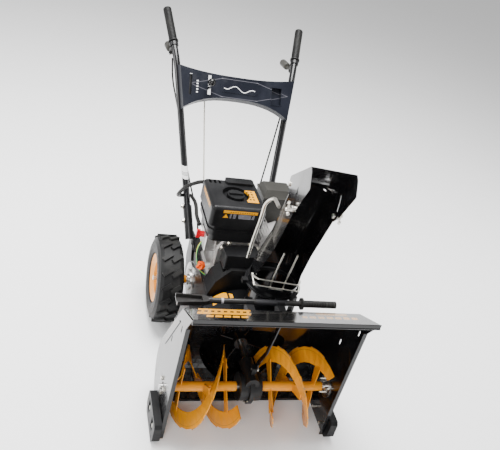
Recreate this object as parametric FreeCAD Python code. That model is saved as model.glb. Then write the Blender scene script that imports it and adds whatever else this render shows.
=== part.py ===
"""Two-stage snowblower, in millimetres.

Each sub-part is drawn with the auger axis above x = y = 0 along X, the intake at -Y, +Z up and the
ground at z = 0. On writing, all move together along Y so that the origin is below the middle.
"""
import FreeCAD, Part
import math
import os

V = FreeCAD.Vector

# ---------------------------------------------------------------- driving sizes
# auger housing
housing_width = 560.0        # over the two side plates
auger_axis_height = 145.0
plate = 3.0                  # pressed side plates
sheet = 2.0                  # top, back and drum sheet
intake_depth = 96.0          # side plates in front of the auger axis
visor_front = 142.0          # lip in front of the auger axis
visor_height = 549.0
visor_rear_y = -24.0
visor_rear_height = 487.0
lip_height = 14.0
hem = 13.0                   # turned-in front edges of the side plates
plate_ground_gap = 6.0
# auger
auger_radius = 135.0
auger_clearance = 13.0       # flight edge to the back sheet
auger_tube_radius = 16.0
auger_shaft_radius = 9.5
flight_width = 56.0
flight_thickness = 3.0
flight_turn = 300.0          # degrees each ribbon turns through
flight_hand = -1             # which way the left ribbons wind; the right ones are their mirror image
gearbox_gap = 84.0           # between the two auger tubes
# worm drive
worm_offset = 40.0           # impeller shaft above the auger shaft
worm_starts = 2
worm_wheel_teeth = 32
worm_module = 1.75
# impeller
drum_radius = 150.0
drum_depth = 112.0
impeller_clearance = 8.0
impeller_blades = 4
impeller_shaft_radius = 10.0
# chute
chute_x = 62.0
chute_ring_height = 425.0
chute_ring_radius = 80.0
chute_heading = -10.0        # degrees from straight ahead
chute_base_width = 150.0
chute_width = 116.0
chute_wall = 2.0
# wheels and axle
wheel_radius = 166.0
tyre_width = 97.0
rim_radius = 84.0
axle_radius = 9.5
axle_y = 522.0
track_half = 221.0
# tractor body
frame_half_width = 122.0
frame_front_y = 272.0
frame_rear_y = 655.0
disc_radius = 62.0           # friction disc, level with the axle
disc_floor_gap = 12.0
deck_height = 284.0
# engine
crank_x = -14.0
crank_height = 392.0
engine_front_y = 362.0
crankcase_depth = 160.0
crank_radius = 11.0
# handles
handle_foot = V(146, 606, 340)
handle_bend = V(234, 976, 855)
grip_end = V(274, 1146, 990)
grip_setback = 72.0          # bend of the bar to the start of the grip
bar_radius = 12.5
grip_radius = 16.0
# fasteners
bolt_radius = 4.0
running_gap = 0.05           # shaft in its bearing, on the radius
face_gap = 0.4               # between faces of bodies that move

# ---------------------------------------------------------------- derived places
half_width = housing_width / 2
impeller_height = auger_axis_height + worm_offset
back_radius = auger_radius + auger_clearance
drum_rear_y = back_radius + drum_depth
impeller_radius = drum_radius - impeller_clearance
drum_mid_y = back_radius + drum_depth / 2
chute_y = drum_mid_y - 8.0
axle_height = wheel_radius
frame_bottom = axle_height - disc_radius - disc_floor_gap
grip_start = handle_bend.add(grip_end.sub(handle_bend).normalize() * grip_setback)
IMPELLER = V(0, 0, impeller_height)
CHUTE = V(chute_x, chute_y, chute_ring_height)
X = V(1, 0, 0)
Y = V(0, 1, 0)
Z = V(0, 0, 1)


# ---------------------------------------------------------------- helpers
def box(x0, x1, y0, y1, z0, z1):
    return Part.makeBox(x1 - x0, y1 - y0, z1 - z0, V(x0, y0, z0))


def rod(radius, start, end):
    way = end.sub(start)
    return Part.makeCylinder(radius, way.Length, start, way)


def ring(outer, inner, start, end):
    return rod(outer, start, end).cut(rod(inner, start, end))


def plate_x(points, x0, x1):
    """Outline of (y, z) points, from x0 to x1."""
    wire = Part.makePolygon([V(x0, y, z) for y, z in points + points[:1]])
    return Part.Face(wire).extrude(V(x1 - x0, 0, 0))


def plate_y(points, y0, y1):
    """Outline of (x, z) points, from y0 to y1."""
    wire = Part.makePolygon([V(x, y0, z) for x, z in points + points[:1]])
    return Part.Face(wire).extrude(V(0, y1 - y0, 0))


def plate_z(points, z0, z1):
    """Outline of (x, y) points, from z0 to z1."""
    wire = Part.makePolygon([V(x, y, z0) for x, y in points + points[:1]])
    return Part.Face(wire).extrude(V(0, 0, z1 - z0))


def rounded_box(x0, x1, y0, y1, z0, z1, radius):
    block = box(x0, x1, y0, y1, z0, z1)
    upright = [e for e in block.Edges if abs(e.tangentAt(e.FirstParameter).z) > 0.9]
    return block.makeFillet(radius, upright)


def soften(shape, radius, pick):
    """Round the edges that pick(edge) chooses."""
    return shape.makeFillet(radius, [e for e in shape.Edges if pick(e)])


def join(shapes):
    solid = shapes[0]
    for other in shapes[1:]:
        solid = solid.fuse(other)
    return solid.removeSplitter()


def cut(shape, tools):
    for tool in tools:
        shape = shape.cut(tool)
    return shape


def mirror_x(shape):
    return shape.mirror(V(0, 0, 0), X)


def hex_head(point, way, across=13.0, height=5.0):
    """A hexagon head that stands on point and rises along way."""
    head = Part.makePolygon([V(across / math.sqrt(3) * math.cos(math.radians(a)),
                               across / math.sqrt(3) * math.sin(math.radians(a)), 0)
                             for a in range(0, 361, 60)])
    solid = Part.Face(head).extrude(V(0, 0, height))
    solid.Placement = FreeCAD.Placement(point, FreeCAD.Rotation(Z, way))
    return solid


def bolt(point, way, grip, radius=bolt_radius):
    """A bolt whose head stands on point; its shank runs grip deep against way."""
    way = V(way).normalize()
    head = hex_head(point, way, 3.2 * radius, 1.3 * radius)
    shank = rod(radius, point.sub(way * grip), point.add(way * 0.1))
    return head.fuse(shank)


def tube_along(points, outer, inner=0.0, share=0.45):
    """Straight runs joined by tangent arcs that each take a share of the shorter run."""
    edges = []
    start = points[0]
    for i in range(1, len(points) - 1):
        before = points[i - 1].sub(points[i])
        after = points[i + 1].sub(points[i])
        turn = math.pi - before.getAngle(after)
        reach = share * min(before.Length, after.Length)
        entry = points[i].add(V(before).normalize() * reach)
        leave = points[i].add(V(after).normalize() * reach)
        bisector = V(before).normalize().add(V(after).normalize()).normalize()
        radius = reach / math.tan(turn / 2)
        centre_way = radius / math.cos(turn / 2)
        middle = points[i].add(bisector * (centre_way - radius))
        edges.append(Part.makeLine(start, entry))
        edges.append(Part.Arc(entry, middle, leave).toShape())
        start = leave
    edges.append(Part.makeLine(start, points[-1]))
    path = Part.Wire(edges)
    way = points[1].sub(points[0])
    solid = sweep(path, outer, points[0], way)
    if inner:
        solid = solid.cut(sweep(path, inner, points[0], way))
    return solid


def sweep(path, radius, start, way):
    profile = Part.Wire(Part.makeCircle(radius, start, way))
    return path.makePipeShell([profile], True, False)


def gear(teeth, module, bore, width, tip_share=0.9):
    """A spur gear about Z, standing on z = 0, with plain straight-sided teeth."""
    pitch = teeth * module / 2
    root = pitch - 1.25 * module
    tip = pitch + tip_share * module
    points = []
    for i in range(teeth):
        middle = 2 * math.pi * i / teeth
        for radius, half in ((root, 0.30), (tip, 0.13)):
            points.append((radius, middle - half * 2 * math.pi / teeth))
        for radius, half in ((tip, 0.13), (root, 0.30)):
            points.append((radius, middle + half * 2 * math.pi / teeth))
    outline = [V(r * math.cos(a), r * math.sin(a), 0) for r, a in points]
    solid = Part.Face(Part.makePolygon(outline + outline[:1])).extrude(V(0, 0, width))
    return solid.cut(Part.makeCylinder(bore, width, V(0, 0, 0)))


def place(shape, point, way):
    """Move a shape that was made about Z to a point and direction."""
    shape = shape.copy()
    shape.Placement = FreeCAD.Placement(point, FreeCAD.Rotation(Z, way))
    return shape


# ---------------------------------------------------------------- auger housing
def back_profile(radius, lift=0.0):
    """Open (y, z) line of the visor, sloping back and curved back at a distance from the auger."""
    corner = (visor_rear_y, visor_rear_height + lift)
    away = math.hypot(corner[0], corner[1] - auger_axis_height)
    rise = math.atan2(corner[1] - auger_axis_height, corner[0])
    first = rise - math.acos(radius / away)
    last = -math.asin((auger_axis_height - plate_ground_gap - 8.0) / radius)
    steps = 14
    arc = []
    for i in range(steps + 1):
        angle = first + (last - first) * i / steps
        arc.append((radius * math.cos(angle), auger_axis_height + radius * math.sin(angle)))
    return [(-visor_front, visor_height + lift), corner] + arc


def make_auger_housing():
    """Visor, sloping back and curved back, one bent sheet with the impeller opening and rolled lip."""
    inside = back_profile(back_radius)
    outside = back_profile(back_radius + sheet, sheet)
    skin = plate_x(inside + outside[::-1], -half_width + plate, half_width - plate)
    lip = box(-half_width, half_width, -visor_front - sheet, -visor_front,
              visor_height - lip_height, visor_height + sheet)
    roll = rod(3.0, V(-half_width, -visor_front - 1.0, visor_height - lip_height),
               V(half_width, -visor_front - 1.0, visor_height - lip_height))
    opening = rod(drum_radius - 6.0, IMPELLER, IMPELLER.add(Y * 400))
    stay_bolt = rod(bolt_radius + 0.3, V(stay_x, -80, 400), V(stay_x, -80, 600))
    return cut(join([skin, lip, roll]), [opening, stay_bolt])


def side_outline(grow=0.0):
    rear = [(y, z) for y, z in back_profile(back_radius + sheet + 5.0, -1.0)[1:]]
    return [(-intake_depth + 8.0, plate_ground_gap), (-intake_depth - 2.0, 474.0),
            (-visor_front + 2.0, visor_height - 5.0)] + rear + [(rear[-1][0] - 20, plate_ground_gap)]


def make_left_side_plate():
    """Side plate at -X with a turned-in front edge and a raised rib near its rear edge."""
    skin = plate_x(side_outline(), -half_width, -half_width + plate)
    top = (-intake_depth - 2.0, 474.0)
    foot = (-intake_depth + 8.0, plate_ground_gap)
    edge = plate_x([foot, top, (top[0] + plate, top[1]), (foot[0] + plate, foot[1])],
                   -half_width, -half_width + hem)
    rib_line = [(-30, 440), (80, 250), (88, 250), (-22, 440)]
    rib = plate_x(rib_line, -half_width - 2.0, -half_width + 1.0)
    bore = rod(auger_shaft_radius + 6.0, V(-half_width - 5, 0, auger_axis_height),
               V(-half_width + 20, 0, auger_axis_height))
    slots = [box(-half_width - 5, -half_width + 5, y - 4, y + 4, z - 12, z + 12)
             for y, z in ((-60, 440), (20, 330))]
    holes = [rod(bolt_radius, V(-half_width - 5, y, z), V(-half_width + 5, y, z))
             for y, z in bearing_bolts()]
    holes += [rod(skid_bolt_radius + running_gap, V(-half_width - 5, y, skid_bolt_height),
                  V(-half_width + 5, y, skid_bolt_height)) for y in skid_bolt_ys()]
    return cut(join([skin, edge, rib]), [bore] + slots + holes)


def bearing_bolts():
    """(y, z) of the bolts that hold an auger bearing flange."""
    spread = 27.0
    return [(spread * math.cos(math.radians(a)), auger_axis_height + spread * math.sin(math.radians(a)))
            for a in (30, 150, 270)]


def make_scraper_bar():
    """Wear bar under the rear edge of the housing."""
    end_y, end_z = back_profile(back_radius)[-1]
    bar = box(-half_width + plate, half_width - plate, end_y - 4, end_y + 22,
              plate_ground_gap - 2, end_z - face_gap / 2)
    return bar


def make_skid_shoe():
    """Moulded runner bolted outside the left plate through two height slots."""
    outer = -half_width - 27.0
    inner = -half_width - 2.0 - face_gap
    outline = [(-64, 0), (58, 0), (78, 22), (78, 74), (70, 84), (-72, 84), (-80, 74), (-80, 22)]
    shoe = plate_x([(y + skid_y, z) for y, z in outline], outer, inner)
    low = skid_bolt_height - skid_bolt_radius - 0.3
    top = skid_bolt_height + skid_bolt_radius + skid_travel
    slots = [box(outer - 1, inner + 1, y - 5.5, y + 5.5, low, top) for y in skid_bolt_ys()]
    wells = [box(outer - 1, outer + 9, y - 13, y + 13, low - 8, top + 6) for y in skid_bolt_ys()]
    return cut(shoe, slots + wells)


skid_y = -30.0               # middle of the runners
skid_bolt_spread = 36.0
skid_bolt_height = 40.0
skid_bolt_radius = 4.8
skid_travel = 20.0           # how far a shoe can be set down
stay_x = 16.0                # gearbox stay beside the mid-plane


def skid_bolt_ys():
    return (skid_y - skid_bolt_spread, skid_y + skid_bolt_spread)


# ---------------------------------------------------------------- auger
def ribbon(start_angle, x0, x1, hand):
    """One helical ribbon from x0 to x1: flat blade strips with a stepped outer edge."""
    steps = 20
    inner = auger_radius - flight_width
    strips = []
    stretch = (x1 - x0) / steps
    for i in range(steps):
        points = []
        for j in (i, i + 1):
            angle = math.radians(start_angle + hand * flight_turn * j / steps)
            x = x0 + stretch * j
            step = 4.0 if i % 4 in (0, 1) else 0.0
            for radius in (inner, auger_radius - step):
                points.append(V(x, radius * math.cos(angle), auger_axis_height + radius * math.sin(angle)))
        strips.append(points)
    return strips


def strip_solid(points):
    """A twisted quad given a thickness along X."""
    a, b, c, d = points
    push = V(flight_thickness, 0, 0)
    lower = [Part.makePolygon([a, b, d, a]), Part.makePolygon([a, d, c, a])]
    faces = [Part.Face(w) for w in lower]
    faces += [Part.Face(Part.makePolygon([p.add(push) for p in tri]))
              for tri in ([a, b, d, a], [a, d, c, a])]
    for p, q in ((a, b), (b, d), (d, c), (c, a)):
        faces.append(Part.Face(Part.makePolygon([p, q, q.add(push), p.add(push), p])))
    return Part.Solid(Part.Shell(faces))


def spoke(angle, x):
    """Flat arm from the tube to a ribbon."""
    way = V(0, math.cos(math.radians(angle)), math.sin(math.radians(angle)))
    side = X.cross(way)
    base = V(x, 0, auger_axis_height)
    p = [base.add(way * (auger_tube_radius - 3)).add(side * s) for s in (-13, 13)]
    q = [base.add(way * (auger_radius - flight_width + 6)).add(side * s) for s in (-20, 20)]
    face = Part.Face(Part.makePolygon([p[0], p[1], q[1], q[0], p[0]]))
    return face.extrude(V(flight_thickness, 0, 0))


def make_left_auger():
    """Tube with two ribbons on the -X side of the gearbox."""
    x0 = -half_width + 22.0
    x1 = -gearbox_gap / 2
    tube = rod(auger_tube_radius, V(x0, 0, auger_axis_height), V(x1, 0, auger_axis_height))
    solids = [tube]
    for start in (120.0, 300.0):
        strips = ribbon(start, x0 + 6, x1 - 12, flight_hand)
        solids += [strip_solid(p) for p in strips]
        for share in (0.12, 0.5, 0.88):
            x = x0 + 6 + share * (x1 - 12 - x0 - 6)
            solids.append(spoke(start + flight_hand * flight_turn * share, x))
    body = solids[0].multiFuse(solids[1:])
    return body.cut(rod(auger_shaft_radius + running_gap, V(x0 - 5, 0, auger_axis_height),
                        V(x1 + 5, 0, auger_axis_height)))


def make_auger_shaft():
    """Cross shaft through both augers, the worm wheel and the side plates."""
    reach = half_width + 12.0
    return rod(auger_shaft_radius, V(-reach, 0, auger_axis_height), V(reach, 0, auger_axis_height))


def make_auger_bearings():
    """Pressed flange and bush inside each side plate, with their nuts."""
    solids = []
    for side in (-1, 1):
        face = side * (half_width - plate)
        inward = side * (half_width - plate - 10.0)
        flange = ring(38.0, auger_shaft_radius + running_gap, V(face, 0, auger_axis_height),
                      V(side * (half_width - plate - 3.0), 0, auger_axis_height))
        boss = ring(17.0, auger_shaft_radius + running_gap, V(face, 0, auger_axis_height),
                    V(inward, 0, auger_axis_height))
        unit = join([flange, boss])
        holes = [rod(bolt_radius, V(face, y, z), V(inward, y, z)) for y, z in bearing_bolts()]
        solids.append(cut(unit, holes))
    return Part.makeCompound(solids)


# ---------------------------------------------------------------- gearbox
gearbox_radius = 46.0
gearbox_half_length = 36.0
worm_radius = worm_offset - worm_wheel_teeth * worm_module / 2
gearbox_rear_y = 72.0
stay_bolt_height = auger_axis_height + 78.0


def gearbox_solid():
    """Round casing about the cross shaft with a nose about the impeller shaft."""
    drum = rod(gearbox_radius, V(-gearbox_half_length, 0, auger_axis_height),
               V(gearbox_half_length, 0, auger_axis_height))
    nose = rod(23.0, V(0, -34, impeller_height), V(0, gearbox_rear_y, impeller_height))
    band = rod(gearbox_radius + 10.0, V(-7, 0, auger_axis_height), V(7, 0, auger_axis_height))
    ear = box(-7, 7, -12, 12, auger_axis_height + 40, stay_bolt_height + 10)
    return join([drum, nose, band, ear])


def gearbox_hollow():
    cave = rod(gearbox_radius - 5.0, V(-12, 0, auger_axis_height), V(12, 0, auger_axis_height))
    bore = rod(auger_shaft_radius + running_gap, V(-60, 0, auger_axis_height), V(60, 0, auger_axis_height))
    worm_cave = rod(17.0, V(0, -28, impeller_height), V(0, gearbox_rear_y - 12, impeller_height))
    worm_bore = rod(impeller_shaft_radius + running_gap, V(0, -31, impeller_height),
                    V(0, gearbox_rear_y + 5, impeller_height))
    return [cave, bore, worm_cave, worm_bore]


def gearbox_bolt_places():
    reach = gearbox_radius + 5.5
    return [(reach * math.cos(math.radians(a)), auger_axis_height + reach * math.sin(math.radians(a)))
            for a in (200, 235, 270, 305, 340)]


def make_gearbox_half(side):
    """One of two castings that meet on the mid-plane."""
    half = box(0, 90, -120, 120, 0, 320) if side > 0 else box(-90, 0, -120, 120, 0, 320)
    holes = [rod(2.6, V(-20, y, z), V(20, y, z)) for y, z in gearbox_bolt_places()]
    stay_hole = rod(bolt_radius, V(-20, 0, stay_bolt_height), V(20, 0, stay_bolt_height))
    return cut(gearbox_solid(), gearbox_hollow() + holes + [stay_hole]).common(half)


def make_worm_wheel():
    """Bronze wheel keyed to the cross shaft; its teeth lean with the worm's thread."""
    wheel = gear(worm_wheel_teeth, worm_module, auger_shaft_radius, 12.0, 0.75)
    return place(wheel, V(-6, 0, auger_axis_height), X)


def make_impeller_shaft():
    """Shaft from the gearbox's worm to the rear pulley."""
    shaft = rod(impeller_shaft_radius, V(0, -30.5, impeller_height), V(0, pulley_y + 22, impeller_height))
    return shaft


def make_worm():
    """Threaded sleeve pinned on the impeller shaft; each start is one helical thread."""
    length = 26.0
    lead = math.pi * worm_module * worm_starts
    core_radius = impeller_shaft_radius + 1.2 - 1.0
    solids = []
    for start in range(worm_starts):
        helix = Part.makeHelix(lead, length, core_radius)
        profile = Part.makePolygon([V(core_radius - 0.6, 0, -1.0), V(core_radius + 1.0, 0, -0.5),
                                    V(core_radius + 1.0, 0, 0.5), V(core_radius - 0.6, 0, 1.0),
                                    V(core_radius - 0.6, 0, -1.0)])
        thread = Part.Wire(helix).makePipeShell([Part.Wire(profile)], True, True)
        thread.rotate(V(0, 0, 0), Z, 360.0 / worm_starts * start)
        solids.append(thread)
    return solids


def make_impeller_rotor_shaft():
    """Impeller shaft with its two-start worm, one solid."""
    y0 = -13.0
    threads = [place(t, V(0, y0, impeller_height), Y) for t in make_worm()]
    turned = [turn_about(t, V(0, 0, impeller_height), Y, worm_phase) for t in threads]
    return join([make_impeller_shaft()] + turned)


worm_phase = 120.0           # degrees that bring the thread between two teeth


def turn_about(shape, point, way, degrees):
    shape = shape.copy()
    shape.rotate(point, way, degrees)
    return shape


# ---------------------------------------------------------------- impeller and drum
def make_impeller():
    """Welded fan of flat blades with turned tips on a hub."""
    y0 = back_radius + 18.0
    y1 = drum_rear_y - 16.0
    hub = ring(24.0, impeller_shaft_radius + running_gap / 10, V(0, y0 - 10, impeller_height),
               V(0, y1 + 4, impeller_height))
    disc = ring(62.0, 20.0, V(0, y1 - 3, impeller_height), V(0, y1, impeller_height))
    parts = [hub, disc]
    for i in range(impeller_blades):
        tip = Part.makeBox(14.0, y1 - y0, 4.0, V(impeller_radius - 14.0, y0, impeller_height - 2.0))
        tip.rotate(V(impeller_radius - 14.0, 0, impeller_height), Y, -24.0)
        blade = Part.makeBox(impeller_radius - 30.0, y1 - y0, 4.0, V(18.0, y0, impeller_height - 2.0)).fuse(tip)
        parts.append(turn_about(blade, V(0, 0, impeller_height), Y, 20.0 + 360.0 / impeller_blades * i))
    return join(parts)


def housing_inside():
    """Everything in front of the back sheet, between the side plates."""
    line = back_profile(back_radius + sheet, sheet)
    return plate_x(line + [(-400, plate_ground_gap - 20), (-400, visor_height + sheet)],
                   -half_width, half_width)


def chute_neck(radius, z0, z1):
    return Part.makeCylinder(radius, z1 - z0, V(chute_x, chute_y, z0))


def make_impeller_housing():
    """Drum about the impeller with the round neck that carries the chute."""
    outer = rod(drum_radius + sheet, V(0, 20, impeller_height), V(0, drum_rear_y + sheet, impeller_height))
    inner = rod(drum_radius, V(0, 0, impeller_height), V(0, drum_rear_y, impeller_height))
    neck_outer = chute_neck(chute_ring_radius - 6, impeller_height + 60, chute_ring_height - 8)
    neck_inner = chute_neck(chute_ring_radius - 6 - sheet, impeller_height + 40, chute_ring_height)
    rear = box(-400, 400, drum_rear_y, 500, 0, 600)
    body = outer.fuse(neck_outer.cut(rear.copy()).fuse(neck_outer.common(rear)))
    shaft_hole = rod(24.0, V(0, drum_rear_y - 5, impeller_height), V(0, drum_rear_y + 9, impeller_height))
    return cut(body, [inner, neck_inner, housing_inside(), shaft_hole]).removeSplitter()


def make_impeller_bearing():
    """Flanged ball bearing in the rear wall of the drum."""
    y = drum_rear_y + sheet
    flange = ring(42.0, impeller_shaft_radius + running_gap, V(0, y, impeller_height),
                  V(0, y + 3, impeller_height))
    boss = ring(24.0, impeller_shaft_radius + running_gap, V(0, y - sheet - 6, impeller_height),
                V(0, y + 12, impeller_height))
    return join([flange, boss])


def make_scaled_pulley(centre_x, centre_z, radius, bore, y0):
    """V-groove pulley about Y."""
    width = 18.0
    lip, root = 2.6, 3.4
    line = [(bore, 0), (radius + 3, 0), (radius + 3, lip), (radius - 6, root), (radius - 6, width - root),
            (radius + 3, width - lip), (radius + 3, width), (bore, width)]
    wire = Part.makePolygon([V(r, 0, z) for r, z in line + line[:1]])
    solid = Part.Face(wire).revolve(V(0, 0, 0), Z, 360)
    return place(solid, V(centre_x, y0, centre_z), Y)


pulley_y = drum_rear_y + 40.0
impeller_pulley_radius = 88.0
crank_pulley_radius = 34.0
belt_width = 10.0


def make_belt():
    """V-belt round the crank and impeller pulleys; slack side on the idler is left straight."""
    gap = V(0, 0, impeller_height).sub(V(crank_x, 0, crank_height))
    distance = gap.Length
    lean = math.atan2(crank_height - impeller_height, crank_x)
    spread = math.acos((impeller_pulley_radius - crank_pulley_radius) / distance)
    def loop(grow):
        big = impeller_pulley_radius + grow
        small = crank_pulley_radius + grow
        points = []
        for i in range(33):
            a = lean + spread + (2 * math.pi - 2 * spread) * i / 32
            points.append((big * math.cos(a), impeller_height + big * math.sin(a)))
        for i in range(17):
            a = lean - spread + 2 * spread * i / 16
            points.append((crank_x + small * math.cos(a), crank_height + small * math.sin(a)))
        return points
    y0 = pulley_y + 9.0 - belt_width / 2
    return plate_y(loop(2.0), y0, y0 + belt_width).cut(plate_y(loop(-5.6), y0 - 1, y0 + belt_width + 1))


def make_belt_cover():
    """Moulded cover over the belts, between the drum and the engine, with sloping shoulders."""
    y0 = drum_rear_y + sheet + face_gap
    y1 = engine_front_y - 4.0
    low = deck_height + 0.4
    outline = [(-122, low), (122, low), (122, 330), (96, 372), (40, 404), (-58, 404), (-104, 352), (-122, 300)]
    hollow = [(-118, low - 4), (118, low - 4), (118, 329), (94, 368), (39, 400), (-56, 400), (-100, 350),
              (-118, 299)]
    shell = plate_y(outline, y0 + 12, y1).cut(plate_y(hollow, y0 + 16, y1 + 1))
    hood_out = rounded_box(-84, 36, y0 + 28, y1, 396, 452, 8)
    hood_in = box(-80, 32, y0 + 32, y1 + 1, 380, 448)
    shell = shell.fuse(hood_out).cut(hood_in)
    return cut(shell, [chute_neck(chute_ring_radius, 240, 440)])


# ---------------------------------------------------------------- tractor body
def make_tractor_frame():
    """Folded box of two side plates, front and rear walls and the engine deck."""
    x = frame_half_width
    block = box(-x, x, frame_front_y, frame_rear_y, frame_bottom, deck_height)
    cave = box(-x + plate, x - plate, frame_front_y + plate, frame_rear_y - plate,
               frame_bottom + sheet, deck_height - plate)
    window = rod(46.0, V(0, 0, impeller_height), V(0, frame_front_y + 20, impeller_height))
    slope = plate_x([(frame_rear_y + 1, frame_bottom - 1), (frame_rear_y + 1, 190), (frame_rear_y - 60, frame_bottom - 1)],
                    -x - 1, x + 1)
    axle_holes = rod(28.0, V(-x - 5, axle_y, axle_height), V(x + 5, axle_y, axle_height))
    belt_slot = box(-108, 108, pulley_y - 8, pulley_y + 26, deck_height - 10, deck_height + 5)
    return cut(block, [cave, window, slope, axle_holes, belt_slot])


def make_axle():
    """Cross axle with its painted hub tubes."""
    reach = track_half + tyre_width / 2 - 6.0
    bar = rod(axle_radius, V(-reach, axle_y, axle_height), V(reach, axle_y, axle_height))
    return bar


def make_axle_bearings():
    """Zinc-plated round bearing flanges on the body's two sides."""
    solids = []
    for side in (-1, 1):
        x0 = side * (frame_half_width)
        x1 = side * (frame_half_width + 4.0)
        x2 = side * (frame_half_width + 14.0)
        bore = axle_radius + running_gap
        flange = ring(66.0, bore, V(x0, axle_y, axle_height), V(x1, axle_y, axle_height))
        dish = ring(40.0, bore, V(x0, axle_y, axle_height), V(side * (frame_half_width + 9), axle_y, axle_height))
        boss = ring(20.0, bore, V(side * (frame_half_width - 10), axle_y, axle_height), V(x2, axle_y, axle_height))
        solids.append(join([flange, dish, boss]))
    return Part.makeCompound(solids)


def make_rim(side):
    """Pressed wheel disc with a deep barrel, a raised ring and the hub tube."""
    mid = side * track_half
    line = [(14.0, -tyre_width / 2 + 6), (14.0, 22.0), (30.0, 22.0), (34.0, 14.0), (58.0, 10.0),
            (64.0, 26.0), (rim_radius - 6, 30.0), (rim_radius - 2, tyre_width / 2 - 18),
            (rim_radius + 6, tyre_width / 2 - 12), (rim_radius + 6, tyre_width / 2 - 9),
            (rim_radius - 6, tyre_width / 2 - 14), (rim_radius - 10, 33.0), (62.0, 29.0),
            (56.0, 13.0), (36.0, 17.0), (31.0, 25.0), (axle_radius + 0.02, 25.0),
            (axle_radius + 0.02, -tyre_width / 2 + 6)]
    line = [(r, x) for r, x in line]
    disc = Part.Face(Part.makePolygon([V(r, 0, x) for r, x in line + line[:1]])).revolve(V(0, 0, 0), Z, 360)
    barrel_line = [(rim_radius - 10, -tyre_width / 2 + 14), (rim_radius + 6, -tyre_width / 2 + 9),
                   (rim_radius + 6, -tyre_width / 2 + 12), (rim_radius - 7, -tyre_width / 2 + 17),
                   (rim_radius - 7, 32.0), (rim_radius - 10, 32.0)]
    barrel = Part.Face(Part.makePolygon([V(r, 0, x) for r, x in barrel_line + barrel_line[:1]])).revolve(
        V(0, 0, 0), Z, 360)
    tube_length = track_half - frame_half_width - 16.0
    tube = ring(15.0, axle_radius + 0.02, V(0, 0, -tube_length), V(0, 0, 0))
    unit = join([disc, barrel, tube])
    return place(unit, V(mid, axle_y, axle_height), X * side)


def make_tyre(side):
    """Tubeless snow tyre with staggered chevron lugs."""
    mid = side * track_half
    half = tyre_width / 2
    crown = wheel_radius - 9.0
    line = [(rim_radius + 6.4, half - 16), (rim_radius + 12, half - 5), (rim_radius + 30, half),
            (crown - 22, half - 1), (crown - 6, half - 8), (crown, half - 20), (crown, -half + 20),
            (crown - 6, -half + 8), (crown - 22, -half + 1), (rim_radius + 30, -half), (rim_radius + 12, -half + 5),
            (rim_radius + 6.4, -half + 16)]
    hollow = [(rim_radius + 6.4, half - 22), (rim_radius + 14, half - 14), (rim_radius + 30, half - 9),
              (crown - 24, half - 9), (crown - 12, half - 18), (crown - 9, 0), (crown - 12, -half + 18),
              (crown - 24, -half + 9), (rim_radius + 30, -half + 9), (rim_radius + 14, -half + 14),
              (rim_radius + 6.4, -half + 22)]
    solid = Part.Face(Part.makePolygon([V(r, 0, x) for r, x in line + line[:1]])).revolve(V(0, 0, 0), Z, 360)
    cave = Part.Face(Part.makePolygon([V(r, 0, x) for r, x in hollow + hollow[:1]])).revolve(V(0, 0, 0), Z, 360)
    solid = solid.cut(cave)
    lugs = []
    count = 18
    shell = Part.makeCylinder(wheel_radius, tyre_width - 14, V(0, 0, -half + 7)).cut(
        Part.makeCylinder(crown - 9, tyre_width, V(0, 0, -half)))
    for i in range(count):
        for hand in (-1, 1):
            bar = Part.makeBox(40.0, 15.0, half - 8, V(crown - 18, -7.5, 0))
            bar.rotate(V(crown, 0, 0), X, hand * 34.0)
            if hand < 0:
                bar = bar.mirror(V(0, 0, 0), Z)
                bar.rotate(V(0, 0, 0), Z, 360.0 / count / 2)
            bar.rotate(V(0, 0, 0), Z, 360.0 / count * i)
            lugs.append(bar)
    tread = Part.makeCompound(lugs).common(shell)
    unit = solid.multiFuse(tread.Solids)
    unit = turn_about(unit, V(0, 0, 0), Z, 5.0)
    return place(unit, V(mid, axle_y, axle_height), X * side)


# ---------------------------------------------------------------- friction drive
disc_y = 400.0
drive_wheel_radius = 40.0
pinion_teeth = 12
axle_gear_teeth = 40
drive_module = 2.0
drive_shaft_y = axle_y - (pinion_teeth + axle_gear_teeth) * drive_module / 2 - 0.2
drive_gear_x = 84.0


def make_friction_disc():
    """Driven plate on its stub shaft in front of the drive wheel."""
    disc = rod(disc_radius, V(0, disc_y, axle_height), V(0, disc_y + 8, axle_height))
    stub = rod(9.0, V(0, disc_y - 40, axle_height), V(0, disc_y, axle_height))
    return join([disc, stub])


def make_drive_wheel():
    """Rubber-edged wheel, hexagon shaft and drive pinion in one turning set."""
    wheel = rod(drive_wheel_radius, V(-5, drive_shaft_y, axle_height), V(5, drive_shaft_y, axle_height))
    shaft = rod(8.0, V(-frame_half_width + 5, drive_shaft_y, axle_height),
                V(frame_half_width - 5, drive_shaft_y, axle_height))
    pinion = place(gear(pinion_teeth, drive_module, 6.0, 14.0, 0.8), V(drive_gear_x, drive_shaft_y, axle_height), X)
    return join([wheel, shaft, turn_about(pinion, V(0, drive_shaft_y, axle_height), X, pinion_turn())])


def pinion_turn():
    """Turn that puts a gap of the pinion opposite a tooth of the axle gear."""
    return 180.0 / pinion_teeth


def make_axle_gear():
    wheel = gear(axle_gear_teeth, drive_module, axle_radius, 14.0, 0.8)
    return place(wheel, V(drive_gear_x, axle_y, axle_height), X)


# ---------------------------------------------------------------- engine
engine_rear_y = engine_front_y + crankcase_depth
tank_x0 = crank_x - 132.0
tank_x1 = crank_x + 46.0
tank_front_y = 352.0
tank_rear_y = 534.0
tank_bottom = 488.0
tank_seam = 566.0
tank_top = 606.0
shroud_radius = 94.0
shroud_depth = 92.0


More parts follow.
